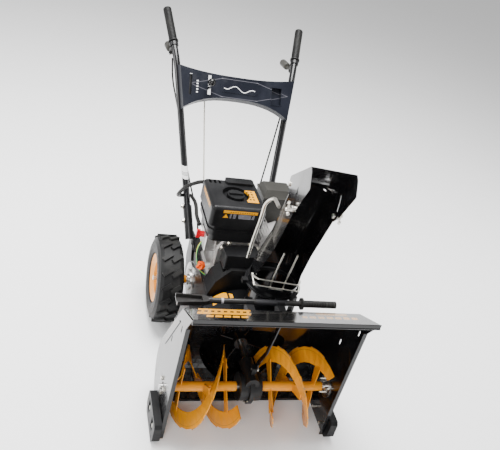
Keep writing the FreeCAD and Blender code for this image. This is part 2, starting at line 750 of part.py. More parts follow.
def make_crankcase():
    """Cast crankcase on its feet with a bolted front cover and a sloping left wall."""
    foot = deck_height + 0.3
    outline = [(crank_x - 92, foot), (crank_x + 78, foot), (crank_x + 78, foot + 14), (crank_x + 66, foot + 22),
               (crank_x + 66, 446), (crank_x + 20, 462), (crank_x - 62, 462), (crank_x - 84, 430),
               (crank_x - 84, foot + 22), (crank_x - 92, foot + 14)]
    case = plate_y(outline, engine_front_y + 14, engine_rear_y)
    cover = plate_y([(x * 0.96 + crank_x * 0.04, max(z, foot + 16) - 3) for x, z in outline],
                    engine_front_y + 2, engine_front_y + 14.2)
    boss = rod(34.0, V(crank_x, engine_front_y - 3, crank_height), V(crank_x, engine_front_y + 20, crank_height))
    bore = rod(crank_radius + running_gap, V(crank_x, engine_front_y - 20, crank_height),
               V(crank_x, engine_rear_y + 10, crank_height))
    cave = box(crank_x - 60, crank_x + 50, engine_front_y + 30, engine_rear_y - 14, foot + 24, 436)
    neck = rod(11.0, V(crank_x - 80, engine_front_y + 44, foot + 40), V(crank_x - 112, engine_front_y + 30, foot + 48))
    return cut(join([case, cover, boss, neck]), [cave, bore])


def make_cylinder():
    """Finned cylinder, head and rocker cover, leaning to +X."""
    lean = FreeCAD.Rotation(Y, 62.0)
    base = V(crank_x + 34, 0, crank_height + 14)
    parts = [Part.makeBox(84, 84, 70, V(-42, engine_front_y + 12, 0))]
    for i in range(8):
        wide = 64.0 if i < 5 else 58.0
        parts.append(Part.makeBox(2 * wide, 100, 2.6, V(-wide, engine_front_y + 4, 36 + 9.0 * i)))
    parts.append(Part.makeBox(96, 84, 40, V(-48, engine_front_y + 12, 62)))
    rocker = rounded_box(-44, 44, engine_front_y + 14, engine_front_y + 94, 102, 132, 12)
    parts.append(rocker)
    body = join(parts)
    body.Placement = FreeCAD.Placement(base, lean)
    clear = [box(-400, crank_x + 66.3, 0, 900, 0, 463), box(-400, 400, 0, 900, 0, deck_height + 4),
             box(-400, tank_x1 + 1, 0, 900, 463, 900)]
    body = cut(body, clear)
    return max(body.Solids, key=lambda s: s.Volume)


def make_crankshaft():
    """Crankshaft with its web and the output end that carries the pulley."""
    shaft = rod(crank_radius, V(crank_x, pulley_y - 2, crank_height), V(crank_x, engine_rear_y + 30, crank_height))
    web = rod(36.0, V(crank_x, engine_front_y + 60, crank_height), V(crank_x, engine_front_y + 84, crank_height))
    return join([shaft, web])


def tank_outline(grow=0.0):
    return (tank_x0 - grow, tank_x1 + grow, tank_front_y - grow, tank_rear_y + grow)


def make_fuel_tank():
    """Steel tank, hollow, with a rolled seam and a shallow tray flange below."""
    x0, x1, y0, y1 = tank_outline()
    shell = rounded_box(x0, x1, y0, y1, tank_bottom, tank_seam, 26)
    seam = rounded_box(x0 - 4, x1 + 4, y0 - 4, y1 + 4, tank_bottom + 22, tank_bottom + 26, 28)
    tray = rounded_box(x0 + 10, x1 - 6, y0 + 6, y1 - 16, tank_bottom - 24, tank_bottom + 1, 18)
    neck = Part.makeCylinder(22.0, 24.0, V(cap_x, cap_y, tank_seam - 2))
    hollow = rounded_box(x0 + 3, x1 - 3, y0 + 3, y1 - 3, tank_bottom + 3, tank_seam - 3, 22)
    neck_bore = Part.makeCylinder(19.0, 40.0, V(cap_x, cap_y, tank_seam - 10))
    return cut(join([shell, seam, tray, neck]), [hollow, neck_bore])


cap_x = tank_x0 + 92.0
cap_y = tank_front_y + 88.0


def make_tank_cover():
    """Moulded top cover with a round recess for the cap, a raised rear and three cooling slots."""
    x0, x1, y0, y1 = tank_outline(6.0)
    block = box(x0, x1, y0, y1, tank_seam - 34, tank_top)
    crown = [e for e in block.Edges if min(v.Z for v in e.Vertexes) > tank_top - 1]
    upright = [e for e in block.Edges if abs(e.tangentAt(e.FirstParameter).z) > 0.9]
    block = block.makeFillet(15.0, crown + upright)
    hollow = rounded_box(x0 + 5.6, x1 - 5.6, y0 + 5.6, y1 - 5.6, tank_seam - 60, tank_top - 21, 27)
    recess = Part.makeCylinder(47.0, 60.0, V(cap_x, cap_y, tank_top - 17))
    floor = Part.makeCylinder(23.0, 60.0, V(cap_x, cap_y, tank_top - 60))
    rear = rounded_box(x0 + 74, x1 - 14, y1 - 40, y1 - 3, tank_top - 10, tank_top + 9, 10)
    slots = [box(x0 + 16 + 17 * i, x0 + 24 + 17 * i, y1 - 36, y1 - 8, tank_top - 12, tank_top + 20)
             for i in range(3)]
    return cut(join([block, rear]), [hollow, recess, floor] + slots)


def make_fuel_cap():
    """Round fluted cap on the tank neck."""
    top = Part.makeCylinder(30.0, 15.0, V(cap_x, cap_y, tank_seam + 24.6))
    grip = Part.makeBox(50.0, 12.0, 7.0, V(cap_x - 25, cap_y - 6, tank_seam + 39))
    flutes = [Part.makeCylinder(3.0, 20.0, V(cap_x + 31.5 * math.cos(math.radians(a)),
                                            cap_y + 31.5 * math.sin(math.radians(a)), tank_seam + 23))
              for a in range(0, 360, 30)]
    plug = Part.makeCylinder(18.5, 20.0, V(cap_x, cap_y, tank_seam + 6))
    return cut(join([top, grip, plug]), flutes)


def make_recoil_shroud():
    """Fan shroud and starter cover on the rear of the engine."""
    y0 = engine_rear_y + 0.4
    outer = rod(shroud_radius, V(crank_x, y0, crank_height), V(crank_x, y0 + shroud_depth - 14, crank_height))
    cap = Part.makeCone(shroud_radius, shroud_radius - 26, 14, V(crank_x, y0 + shroud_depth - 14, crank_height), Y)
    snout = box(crank_x, crank_x + 70, y0, y0 + 58, crank_height - 40, crank_height + 62)
    hollow = rod(shroud_radius - 3, V(crank_x, y0 - 1, crank_height), V(crank_x, y0 + shroud_depth - 16, crank_height))
    snout_hollow = box(crank_x, crank_x + 67, y0 - 1, y0 + 55, crank_height - 37, crank_height + 59)
    slots = []
    for i in [n for n in range(18) if n not in (11, 12, 13)]:
        slot = Part.makeBox(26.0, 30.0, 6.0, V(crank_x + 38, y0 + shroud_depth - 20, crank_height - 3))
        slots.append(turn_about(slot, V(crank_x, 0, crank_height), Y, 20.0 * i))
    base_cut = box(-400, 400, 0, 900, 0, deck_height + 0.6)
    rope = rod(7.2, V(recoil_x, y0 + 40, recoil_z), V(recoil_x, y0 + 200, recoil_z))
    return cut(join([outer, cap, snout]), [hollow, snout_hollow, base_cut, rope] + slots)


recoil_x = crank_x - 32.0
recoil_z = crank_height + 46.0


def make_recoil_grip():
    """T-grip that rests on the starter cover and pulls out to the rear on its rope."""
    y = engine_rear_y + 0.4 + shroud_depth
    bar = rod(8.0, V(recoil_x - 36, y + 12, recoil_z), V(recoil_x + 36, y + 12, recoil_z))
    stem = Part.makeCone(4.0, 8.0, 18.0, V(recoil_x, y - 6, recoil_z), Y)
    return join([bar, stem])


def make_muffler_box():
    """Box that guards the silencer, with a rimmed sloping lid and a tapered skirt."""
    x0, x1 = tank_x1 + 30.0, tank_x1 + 152.0
    y0, y1 = engine_front_y + 112.0, engine_front_y + 208.0
    skirt = rectangle_loft((x0 + 25, x1 - 22, y0 + 12, y1 - 10), 404, (x0, x1, y0, y1), 528)
    body = box(x0, x1, y0, y1, 528, 580)
    rim = box(x0 - 3, x1 + 3, y0 - 3, y1 + 3, 574, 582)
    lid = rectangle_loft((x0, x1, y0, y1), 582, (x0 + 10, x1 - 22, y0 + 20, y1 - 14), 604)
    hollow = box(x0 + 29, x1 - 24, y0 + 14, y1 - 12, 410, 578)
    stub = box(x0 + 34, x0 + 64, y0 - 6.5, y0 + 16, 425, 445)
    return cut(join([skirt, body, rim, lid, stub]), [hollow])


def rectangle_loft(low, low_z, top, top_z):
    """Tapered block between two (x0, x1, y0, y1) rectangles."""
    wires = []
    for (x0, x1, y0, y1), z in ((low, low_z), (top, top_z)):
        points = [V(x0, y0, z), V(x1, y0, z), V(x1, y1, z), V(x0, y1, z)]
        wires.append(Part.makePolygon(points + points[:1]))
    return Part.makeLoft(wires, True, True)


def make_oil_filler_cap():
    """Orange screw cap on the crankcase's filler neck."""
    mouth = V(crank_x - 112, engine_front_y + 30, deck_height + 48.3)
    way = V(-32, -14, 8).normalize()
    cap = rod(15.0, mouth.add(way * 0.4), mouth.add(way * 13.0))
    grip_bar = Part.makeBox(24, 7, 9, V(-12, -3.5, 0))
    return join([cap, place(grip_bar, mouth.add(way * 12.0), way)])


def make_stop_switch():
    """Red stop key on the engine's left side."""
    y = engine_front_y + 60.0
    body = rod(11.0, V(crank_x - 125.9, y, 446), V(crank_x - 140, y, 446))
    key = box(crank_x - 152, crank_x - 139, y - 5, y + 5, 432, 462)
    return join([body, key])


def make_switch_box():
    """Control box that carries the stop key."""
    y = engine_front_y + 20.0
    return rounded_box(crank_x - 125.5, crank_x - 84.5, y, y + 80, 404, tank_bottom - 24.6, 5)


# ---------------------------------------------------------------- chute
CHUTE_TURN = (CHUTE, Z, chute_heading)
chute_back_foot = -78.0      # forward distances from the ring's middle, height above the ring
chute_profile_back = [(-78.0, 12.0), (-60.0, 90.0), (0.0, 214.0), (88.0, 428.0)]
chute_profile_front = [(34.0, 12.0), (62.0, 90.0), (128.0, 214.0), (226.0, 424.0)]
deflector_hinge = (90.0, 418.0)
deflector_clamp = (206.0, 404.0)


def chute_point(side, forward, up):
    """A point in the chute's own frame: side to +X, forward to -Y, up from the ring."""
    return V(chute_x + side, chute_y - forward, chute_ring_height + up)


def turned(shape):
    return turn_about(shape, CHUTE, Z, chute_heading)


def channel_section(back, front, width, inset):
    """Closed U-shaped outline, open to the front, at one height of the chute."""
    half = width / 2 - inset
    rear = back[0] + inset
    corner = 30.0 - inset
    points = []
    way = []
    for i in range(7):
        a = math.radians(90 * i / 6)
        way.append((-half + corner - corner * math.cos(a) * 1.0, rear + corner - corner * math.sin(a)))
    outline = [(-half, front[0] + (1.0 if inset else 0.0))] + way
    outline = outline + [(-s, f) for s, f in outline[::-1]]
    rise = front[1] - back[1]
    run = front[0] - back[0]
    for s, f in outline:
        points.append(chute_point(s, f, back[1] + rise * (f - back[0]) / run))
    return Part.makePolygon(points + points[:1])


def make_chute():
    """Tapered channel that leans forward from its round collar, open to the front."""
    widths = (chute_base_width, chute_base_width - 14, chute_width, chute_width)
    levels = list(zip(chute_profile_back, chute_profile_front, widths))
    outer = Part.makeLoft([channel_section(b, f, w, 0.0) for b, f, w in levels], True, True)
    inner = Part.makeLoft([channel_section(b, f, w, chute_wall) for b, f, w in levels], True, True)
    collar = Part.makeCylinder(chute_ring_radius + 4, 26.0, CHUTE.add(Z * 3.4))
    collar_bore = Part.makeCylinder(chute_ring_radius + 4 - chute_wall, 60.0, CHUTE.add(Z * -10))
    flange = Part.makeCylinder(chute_ring_radius + 12, 3.0, CHUTE.add(Z * 3.4))
    holes = []
    for forward, up in (deflector_hinge, deflector_clamp):
        holes.append(rod(3.2, chute_point(-90, forward, up), chute_point(90, forward, up)))
    body = outer.cut(inner)
    body = body.cut(collar_bore.common(box(-400, 400, -400, 900, 0, chute_ring_height + 29)).cut(
        Part.makeCylinder(1, 1)))
    band = join([collar, flange]).cut(collar_bore)
    body = band.fuse(body)
    return turned(max(cut(body, holes).Solids, key=lambda s: s.Volume))


def make_chute_ring():
    """Fixed ring on the drum's neck that the chute's flange turns on, with its clips."""
    base = Part.makeCylinder(chute_ring_radius + 14, 3.0, CHUTE)
    skirt = Part.makeCylinder(chute_ring_radius - 3.6, 20.0, CHUTE.add(Z * -17))
    clips = []
    for i in range(3):
        post = box(chute_x + chute_ring_radius + 12.6, chute_x + chute_ring_radius + 26, chute_y - 10, chute_y + 10,
                   chute_ring_height - 4, chute_ring_height + 11)
        hook = box(chute_x + chute_ring_radius + 7, chute_x + chute_ring_radius + 13, chute_y - 10, chute_y + 10,
                   chute_ring_height + 7.0, chute_ring_height + 11)
        low = box(chute_x + chute_ring_radius + 4, chute_x + chute_ring_radius + 13, chute_y - 10, chute_y + 10,
                  chute_ring_height - 4, chute_ring_height + 1)
        clips.append(turn_about(join([post, hook, low]), CHUTE, Z, 60.0 + 120.0 * i))
    bore = Part.makeCylinder(chute_ring_radius - 5.8, 60.0, CHUTE.add(Z * -30))
    return join([base, skirt] + clips).cut(bore)


def make_deflector():
    """Hood hinged to the chute's top: sloping top plate and two slotted cheeks."""
    clear = 1.2
    half_out = chute_width / 2 + chute_wall + clear
    outline = [(76, 436), (86, 444), (262, 566), (282, 560), (312, 528), (240, 420), (206, 386), (110, 396), (78, 412)]
    points_out = [chute_point(-half_out, f, u) for f, u in outline]
    outer = Part.Face(Part.makePolygon(points_out + points_out[:1])).extrude(V(2 * half_out, 0, 0))
    inner_line = [(74, 400), (80, 430), (88, 441), (261, 563.4), (300, 600), (420, 540), (250, 300)]
    half_in = half_out - chute_wall
    points_in = [chute_point(-half_in, f, u) for f, u in inner_line]
    inner = Part.Face(Part.makePolygon(points_in + points_in[:1])).extrude(V(2 * half_in, 0, 0))
    hood = outer.cut(inner)
    hinge = rod(3.2, chute_point(-99, *deflector_hinge), chute_point(99, *deflector_hinge))
    return turned(cut(hood, [hinge] + deflector_slots()))


def deflector_slots():
    """Arc slots about the hinge for the clamp bolts, one cut through both cheeks."""
    away = math.hypot(deflector_clamp[0] - deflector_hinge[0], deflector_clamp[1] - deflector_hinge[1])
    rest = math.atan2(deflector_clamp[1] - deflector_hinge[1], deflector_clamp[0] - deflector_hinge[0])
    angles = [rest + math.radians(deflector_range) * i / 20 for i in range(21)]
    line = []
    for radius, sweep_way in ((away - slot_half, angles), (away + slot_half, angles[::-1])):
        line += [(deflector_hinge[0] + radius * math.cos(a), deflector_hinge[1] + radius * math.sin(a))
                 for a in sweep_way]
    points = [chute_point(-99, f, u) for f, u in line]
    cuts = [Part.Face(Part.makePolygon(points + points[:1])).extrude(V(198, 0, 0))]
    for a in (angles[0], angles[-1]):
        centre = (deflector_hinge[0] + away * math.cos(a), deflector_hinge[1] + away * math.sin(a))
        cuts.append(rod(slot_half, chute_point(-99, *centre), chute_point(99, *centre)))
    return cuts


slot_half = 4.0
deflector_range = 30.0


def make_deflector_fasteners():
    """Hinge bolts and wing knobs, two of each, held by the chute."""
    solids = []
    inside = chute_width / 2 - chute_wall
    outside = chute_width / 2 + chute_wall + 1.2
    for side in (-1, 1):
        hinge = rod(3.15, chute_point(side * (inside - 3), *deflector_hinge),
                    chute_point(side * (outside + 3), *deflector_hinge))
        head = rod(7.0, chute_point(side * (outside + 0.4), *deflector_hinge),
                   chute_point(side * (outside + 4), *deflector_hinge))
        inner_head = rod(7.0, chute_point(side * (inside - 4), *deflector_hinge),
                         chute_point(side * (inside - 0.2), *deflector_hinge))
        solids.append(turned(join([hinge, head, inner_head])))
        shank = rod(3.15, chute_point(side * (inside - 3), *deflector_clamp),
                    chute_point(side * (outside + 6), *deflector_clamp))
        hub = rod(9.0, chute_point(side * (outside + 0.4), *deflector_clamp),
                  chute_point(side * (outside + 14), *deflector_clamp))
        square = rod(7.0, chute_point(side * (inside - 4), *deflector_clamp),
                     chute_point(side * (inside - 0.2), *deflector_clamp))
        wings = [rod(5.0, chute_point(side * (outside + 9), deflector_clamp[0] + dx, deflector_clamp[1] + dz),
                     chute_point(side * (outside + 15), deflector_clamp[0] + dx * 1.2, deflector_clamp[1] + dz * 1.2))
                 for dx, dz in ((10, 10), (-10, -10), (10, -10), (-10, 10))]
        solids.append(turned(join([shank, hub, square] + wings)))
    return Part.makeCompound(solids)


def make_chute_handle():
    """Bent zinc rod on the chute's left side, for turning the chute by hand."""
    x = -chute_base_width / 2 - 14.0
    points = [chute_point(x, -70, 34), chute_point(x, -64, 110), chute_point(x, -34, 214),
              chute_point(x, -34, 272), chute_point(x + 22, -28, 300), chute_point(-chute_width / 2 - 4, 46, 312)]
    bar = tube_along(points, 5.5)
    return turned(bar)


def wire(points, radius=2.6):
    parts = []
    for a, b in zip(points, points[1:]):
        parts.append(rod(radius, a, b))
    for p in points[1:-1]:
        parts.append(Part.makeSphere(radius, p))
    return join(parts)


def make_wire_guard():
    """Bent rod cage across the chute's lower opening."""
    half = chute_base_width / 2 + 4.0
    upright = wire([chute_point(-20, 112, 196), chute_point(-20, 70, 60), chute_point(-20, 66, 22),
                    chute_point(22, 66, 22), chute_point(22, 70, 60), chute_point(22, 112, 196)])
    upper = wire([chute_point(-half, 30, 40), chute_point(-half + 14, 74, 58), chute_point(half - 14, 74, 58),
                  chute_point(half, 30, 40)])
    lower = wire([chute_point(-half, 30, 40), chute_point(-half + 6, 70, 30), chute_point(half - 6, 70, 30),
                  chute_point(half, 30, 40)])
    eyes = [rod(6.0, chute_point(s * (half - 1.9), 30, 40), chute_point(s * (half + 3), 30, 40)) for s in (-1, 1)]
    return turned(join([upright, upper, lower] + eyes))


# ---------------------------------------------------------------- handles
def handle_point(share):
    """A point on the +X handle bar between its foot and its bend."""
    return handle_foot.add(handle_bend.sub(handle_foot) * share)


def make_handle_bar():
    """Bent tube from the body's side to the grip, at +X."""
    points = [handle_foot.sub(handle_bend.sub(handle_foot) * 0.06), handle_bend, grip_end.sub(
        grip_end.sub(grip_start).normalize() * 4)]
    return tube_along(points, bar_radius, bar_radius - 2.0, 0.26)


def both_sides(shape):
    return Part.makeCompound([shape, mirror_x(shape)])


def make_handle_bracket_pair():
    """Lower brackets: a flat foot on the body's side and a half clamp about each bar."""
    low = handle_point(-0.06)
    top = handle_point(0.14)
    sleeve = ring(bar_radius + 4.0, bar_radius + 0.02, low, top)
    y, z = low.y, low.z
    base = axle_height + 70.0
    foot = plate_x([(y - 46, base), (y + 28, base), (y + 34, z + 4), (y - 24, z + 4)], frame_half_width + 0.1,
                   frame_half_width + 6.0)
    shelf = plate_x([(y - 24, z - 22), (y + 20, z - 22), (y + 30, z + 18), (y - 10, z + 18)],
                    frame_half_width + 0.1, low.x - bar_radius + 3.0)
    way = top.sub(low)
    clear = rod(bar_radius + 0.02, low.sub(way), top.add(way))
    return both_sides(join([sleeve, foot, shelf]).cut(clear))


def make_handle_grip():
    """Ribbed rubber grip on the bar's end, closed at its outer end."""
    way = grip_end.sub(grip_start).normalize()
    start = grip_start.add(way * 6)
    body = rod(grip_radius, start, grip_end.add(way * 6))
    body = soften(body, 6.0, lambda e: e.Closed and e.CenterOfMass.sub(grip_end.add(way * 6)).Length < 1)
    length = grip_end.sub(start).Length
    ribs = []
    for i in range(5):
        at = start.add(way * (26 + 21.0 * i))
        ribs.append(Part.makeTorus(grip_radius + 3.5, 5.5, at, way))
    collar = rod(grip_radius + 3, start, start.add(way * 6))
    body = join([body.cut(Part.makeCompound(ribs)), collar])
    return body.cut(rod(bar_radius + 0.02, start.sub(way * 9), grip_end.add(way * -3.9)))


def make_lever_bracket():
    """Clamp and fork under the start of the grip that carries the clutch lever's pin."""
    way = grip_end.sub(grip_start).normalize()
    centre = grip_start.sub(way * 12)
    clamp = ring(bar_radius + 4, bar_radius + 0.02, centre, centre.add(way * 14))
    pin_at = lever_pivot()
    ears = []
    for s in (-1, 1):
        ears.append(box(pin_at.x + s * 9 - 1.5, pin_at.x + s * 9 + 1.5, pin_at.y - 9, pin_at.y + 9,
                        pin_at.z - 8, pin_at.z + 28))
    pin = rod(3.0, pin_at.sub(X * 13), pin_at.add(X * 13))
    heads = [rod(5.0, pin_at.add(X * s * 10.4), pin_at.add(X * s * 14)) for s in (-1, 1)]
    unit = join([clamp] + ears + [pin] + heads)
    return unit.cut(rod(bar_radius + 0.02, centre.sub(way * 9), centre.add(way * 40)))


lever_below_bar = 21.5       # the lever's pin under the bar's lower side


def lever_pivot():
    way = grip_end.sub(grip_start).normalize()
    return grip_start.sub(way * 5).add(V(0, 4, -bar_radius - lever_below_bar))


lever_length = 132.0
lever_drop = 6.0             # degrees the free lever hangs below level


def make_clutch_lever():
    """Flat lever on a pin below the grip, with a thick rounded plastic end."""
    at = lever_pivot()
    hub = ring(7.0, 3.05, at.sub(X * 6.5), at.add(X * 6.5))
    arm = box(at.x - 6.5, at.x + 6.5, at.y + 4.5, at.y + lever_length - 30, at.z - 3, at.z + 3)
    paddle = rod(15.0, at.add(V(0, lever_length - 66, 0)), at.add(V(0, lever_length, 0)))
    paddle = soften(paddle, 6.0, lambda e: e.Closed)
    tongue = box(at.x - 4, at.x + 4, at.y - 20, at.y - 4.5, at.z - 3, at.z + 3)
    lever = join([hub, arm, paddle, tongue])
    return turn_about(lever, at, X, -lever_drop)


def panel_point(side, along, out=0.0):
    """A point on the control panel's face: along the bars, out towards the front."""
    way = handle_bend.sub(handle_foot)
    slope = V(0, way.y, way.z).normalize()
    face = V(0, -slope.z, slope.y)
    centre = V(0, handle_foot.y, handle_foot.z)
    return centre.add(slope * along).add(face * out).add(X * side)


panel_length = math.hypot(handle_bend.y - handle_foot.y, handle_bend.z - handle_foot.z)


def panel_half_width(along):
    return handle_foot.x + (handle_bend.x - handle_foot.x) * along / panel_length


def arched(top_side, top_middle, share):
    """Height along the bars at a share (-1..1) of the width."""
    return top_middle + (top_side - top_middle) * abs(share) ** 2.6


panel_top_side = panel_length - 22.0
panel_top_middle = panel_length - 40.0
panel_low_side = panel_length - 188.0
panel_low_middle = panel_length - 134.0
panel_depth = 30.0


def panel_wire(inset, out):
    shares = [i / 8.0 for i in range(-8, 9)]
    top, low = [], []
    for s in shares:
        a = arched(panel_top_side, panel_top_middle, s) - inset
        b = arched(panel_low_side, panel_low_middle, s) + inset
        top.append(panel_point(s * (panel_half_width(a) + bar_radius * 0.2 - inset), a, out))
        low.append(panel_point(s * (panel_half_width(b) + bar_radius * 0.2 - inset), b, out))
    points = top + low[::-1]
    return Part.makePolygon(points + points[:1])


def make_control_panel():
    """Arched moulded bridge between the bars with a gear slot, a badge field and a pocket."""
    shell = Part.makeLoft([panel_wire(0, bar_radius + 0.3), panel_wire(5, bar_radius + panel_depth)], True, True)
    hollow = Part.makeLoft([panel_wire(3, bar_radius), panel_wire(8, bar_radius + panel_depth - 3)], True, True)
    shell = shell.cut(hollow)
    face = bar_radius + panel_depth
    middle = (panel_top_middle + panel_low_middle) / 2
    frame = FreeCAD.Rotation(X, math.degrees(math.atan2(handle_bend.y - handle_foot.y,
                                                       handle_bend.z - handle_foot.z)) * -1)
    def on_face(x0, x1, a0, a1, depth, lift):
        block = Part.makeBox(x1 - x0, depth, a1 - a0, V(x0, -depth - lift, a0))
        block.Placement = FreeCAD.Placement(panel_point(0, 0, 0), frame)
        return block
    slot = on_face(speed_x - 6, speed_x + 6, middle - 38, middle + 36, 12, face - 8)
    pocket = on_face(136, 176, middle - 44, middle + 22, 20, face - 17)
    pocket_wall = on_face(133, 179, middle - 47, middle + 25, 22, face - 20)
    badge_points = [(-66, middle - 21), (70, middle - 21), (92, middle), (70, middle + 21), (-66, middle + 21)]
    badge = Part.Face(Part.makePolygon([panel_point(x, a, face - 1) for x, a in badge_points + badge_points[:1]]))
    badge = badge.extrude(panel_point(0, 0, 2.2).sub(panel_point(0, 0, 0)))
    window = on_face(-190, -180, middle - 46, middle + 34, 12, face - 8)
    return join([cut(join([shell, pocket_wall, badge]), [slot, pocket, window]), make_speed_pivot()])


speed_x = -112.0
speed_pivot_out = -6.0


def speed_pivot():
    middle = (panel_top_middle + panel_low_middle) / 2
    return panel_point(speed_x, middle, speed_pivot_out)


def make_speed_lever():
    """Gear lever on a pivot behind the panel, through its slot, with a ball knob."""
    at = speed_pivot()
    out = panel_point(0, 0, 1.0).sub(panel_point(0, 0, 0))
    stem = rod(4.0, at, at.add(out * 78))
    ball = Part.makeSphere(15.0, at.add(out * 84))
    hub = rod(8.0, at.sub(X * 8), at.add(X * 8))
    tail = rod(4.0, at, at.add(out * -20))
    eye = rod(6.0, at.add(out * -20).sub(X * 4), at.add(out * -20).add(X * 4))
    bore = rod(3.05, at.sub(X * 20), at.add(X * 20))
    return hub.multiFuse([stem, tail, eye, ball]).cut(bore)


def make_speed_pivot():
    """Pin and fork that carry the gear lever inside the panel."""
    at = speed_pivot()
    out = panel_point(0, 0, 1.0).sub(panel_point(0, 0, 0))
    pin = rod(3.0, at.sub(X * 16), at.add(X * 16))
    arms = []
    for s in (-1, 1):
        start = at.add(X * s * 13)
        arms.append(rod(5.0, start, start.add(out * (bar_radius + panel_depth - 3.0 - speed_pivot_out))))
    return join([pin] + arms)


def make_shift_rod():
    """Thin rod from the gear lever down to the tractor body."""
    out = panel_point(0, 0, 1.0).sub(panel_point(0, 0, 0))
    top = speed_pivot().add(out * -32)
    foot = V(speed_x + 34, 634, deck_height + 16)
    return rod(3.0, foot, top)


def make_control_cables():
    """Two clutch cables in their sheaths, each in one piece from its lever to the body, and the ribbed sleeve."""
    at = lever_pivot()
    route = [at.add(V(0, -20, -14)), at.add(V(-10, -40, -90)), V(200, 900, 660), V(158, 800, 500),
             V(118, 706, 390), V(104, 636, 330), V(100, 632, deck_height + 0.3)]
    right = tube_along(route, 3.2)
    left = mirror_x(right)
    sleeve = tube_along([V(-92, 556, 566), V(-140, 588, 562), V(-188, 626, 512), V(-202, 662, 452),
                         V(-184, 706, 424), V(-142, 700, 434), V(-136, 620, 446), V(-152, 520, 456),
                         V(-148, 470, 452)], 7.0)
    return Part.makeCompound([right, left, sleeve])


# ---------------------------------------------------------------- small front parts
def make_gearbox_stay():
    """Flat bent bar from the visor to the gearbox."""
    top = (-80.0, visor_under(-80.0) - 0.2)
    foot = stay_bolt_height - 11
    points = [(top[0] - 16, visor_under(top[0] - 16) - 0.2), (top[0] + 20, visor_under(top[0] + 20) - 0.2),
              (-30, 330), (9, stay_bolt_height + 26), (9, foot), (-9, foot), (-9, stay_bolt_height + 26),
              (-44, 330), (top[0] + 4, top[1] - 16), (top[0] - 16, visor_under(top[0] - 16) - 4)]
    bar = plate_x(points, stay_x - 8.8, stay_x - 4.8)
    hole = rod(bolt_radius, V(0, 0, stay_bolt_height), V(40, 0, stay_bolt_height))
    return bar.cut(hole)


def visor_under(y):
    """Height of the visor's underside above y."""
    share = (y + visor_front) / (visor_rear_y + visor_front)
    return visor_height + (visor_rear_height - visor_height) * share


def make_fasteners():
    """Bolts of the skid shoes, bearings, gearbox and drum."""
    solids = []
    for side in (-1, 1):
        for y in skid_bolt_ys():
            head = V(side * (half_width + 18.2), y, skid_bolt_height)
            solids.append(bolt(head, X * side, 36.0, skid_bolt_radius))
        for y, z in bearing_bolts():
            solids.append(bolt(V(side * (half_width + 0.1), y, z), X * side, 20.0, bolt_radius - 0.05))
    for y, z in gearbox_bolt_places():
        solids.append(bolt(V(7.1, y, z), X, 18.0, 2.5))
    solids.append(bolt(V(stay_x - 4.7, 0, stay_bolt_height), X, 19.0, bolt_radius - 0.05))
    for a in (25, 80, 155, 205, 335):
        y = drum_rear_y + sheet + 3.1
        solids.append(hex_head(V(34 * math.cos(math.radians(a)), y, impeller_height + 34 * math.sin(math.radians(a))), Y, 9, 4))
    return Part.makeCompound(solids)


# ---------------------------------------------------------------- clean-out tool
tool_y = 46.0
tool_z = 462.0


def make_cleanout_tool():
    """Snow clearing stick: narrow scoop, round shaft, disc guard and ribbed grip."""
    left, right = -286.0, 226.0
    shaft = rod(9.0, V(left + 96, tool_y, tool_z), V(right - 112, tool_y, tool_z))
    collar = rod(11.5, V(left + 100, tool_y, tool_z), V(left + 108, tool_y, tool_z))
    scoop_points = [(left, tool_y - 21), (left + 84, tool_y - 15), (left + 104, tool_y - 8),
                    (left + 104, tool_y + 8), (left + 84, tool_y + 15), (left, tool_y + 21)]
    scoop = plate_z(scoop_points, tool_z - 8, tool_z + 7)
    scoop = scoop.cut(plate_z([(left - 1, tool_y - 17), (left + 78, tool_y - 11), (left + 78, tool_y + 11),
                               (left - 1, tool_y + 17)], tool_z - 4, tool_z + 8))
    guard = rod(19.0, V(right - 118, tool_y, tool_z), V(right - 113, tool_y, tool_z))
    grip = rod(11.5, V(right - 113, tool_y, tool_z), V(right, tool_y, tool_z))
    grooves = [ring(14.0, 10.0, V(right - 100 + 9.0 * i, tool_y, tool_z), V(right - 96.5 + 9.0 * i, tool_y, tool_z))
               for i in range(10)]
    return cut(join([shaft, collar, scoop, guard, grip]), grooves)


def back_slope_y(z):
    """Outer face of the sloping back at a height, behind the auger."""
    line = back_profile(back_radius + sheet, sheet)
    (y0, z0), (y1, z1) = line[1], line[2]
    return y0 + (y1 - y0) * (z - z0) / (z1 - z0)


def make_tool_clip():
    """Two moulded spring clips screwed to the back of the housing that hold the tool."""
    solids = []
    for x in (-74.0, 26.0):
        cup = ring(14.0, 9.3, V(x, tool_y, tool_z), V(x + 24, tool_y, tool_z))
        mouth = box(x - 1, x + 25, tool_y - 9.3, tool_y + 9.3, tool_z, tool_z + 20)
        y_low, y_top = back_slope_y(tool_z - 44), back_slope_y(tool_z + 2)
        foot = plate_x([(y_top + 0.1, tool_z + 2), (y_low + 0.1, tool_z - 44), (y_low + 8, tool_z - 44),
                        (tool_y + 4, tool_z - 12), (tool_y - 6, tool_z + 2)], x, x + 24)
        core = rod(9.3, V(x - 1, tool_y, tool_z), V(x + 25, tool_y, tool_z))
        solids.append(cut(join([cup, foot]), [mouth, core]))
    return Part.makeCompound(solids)


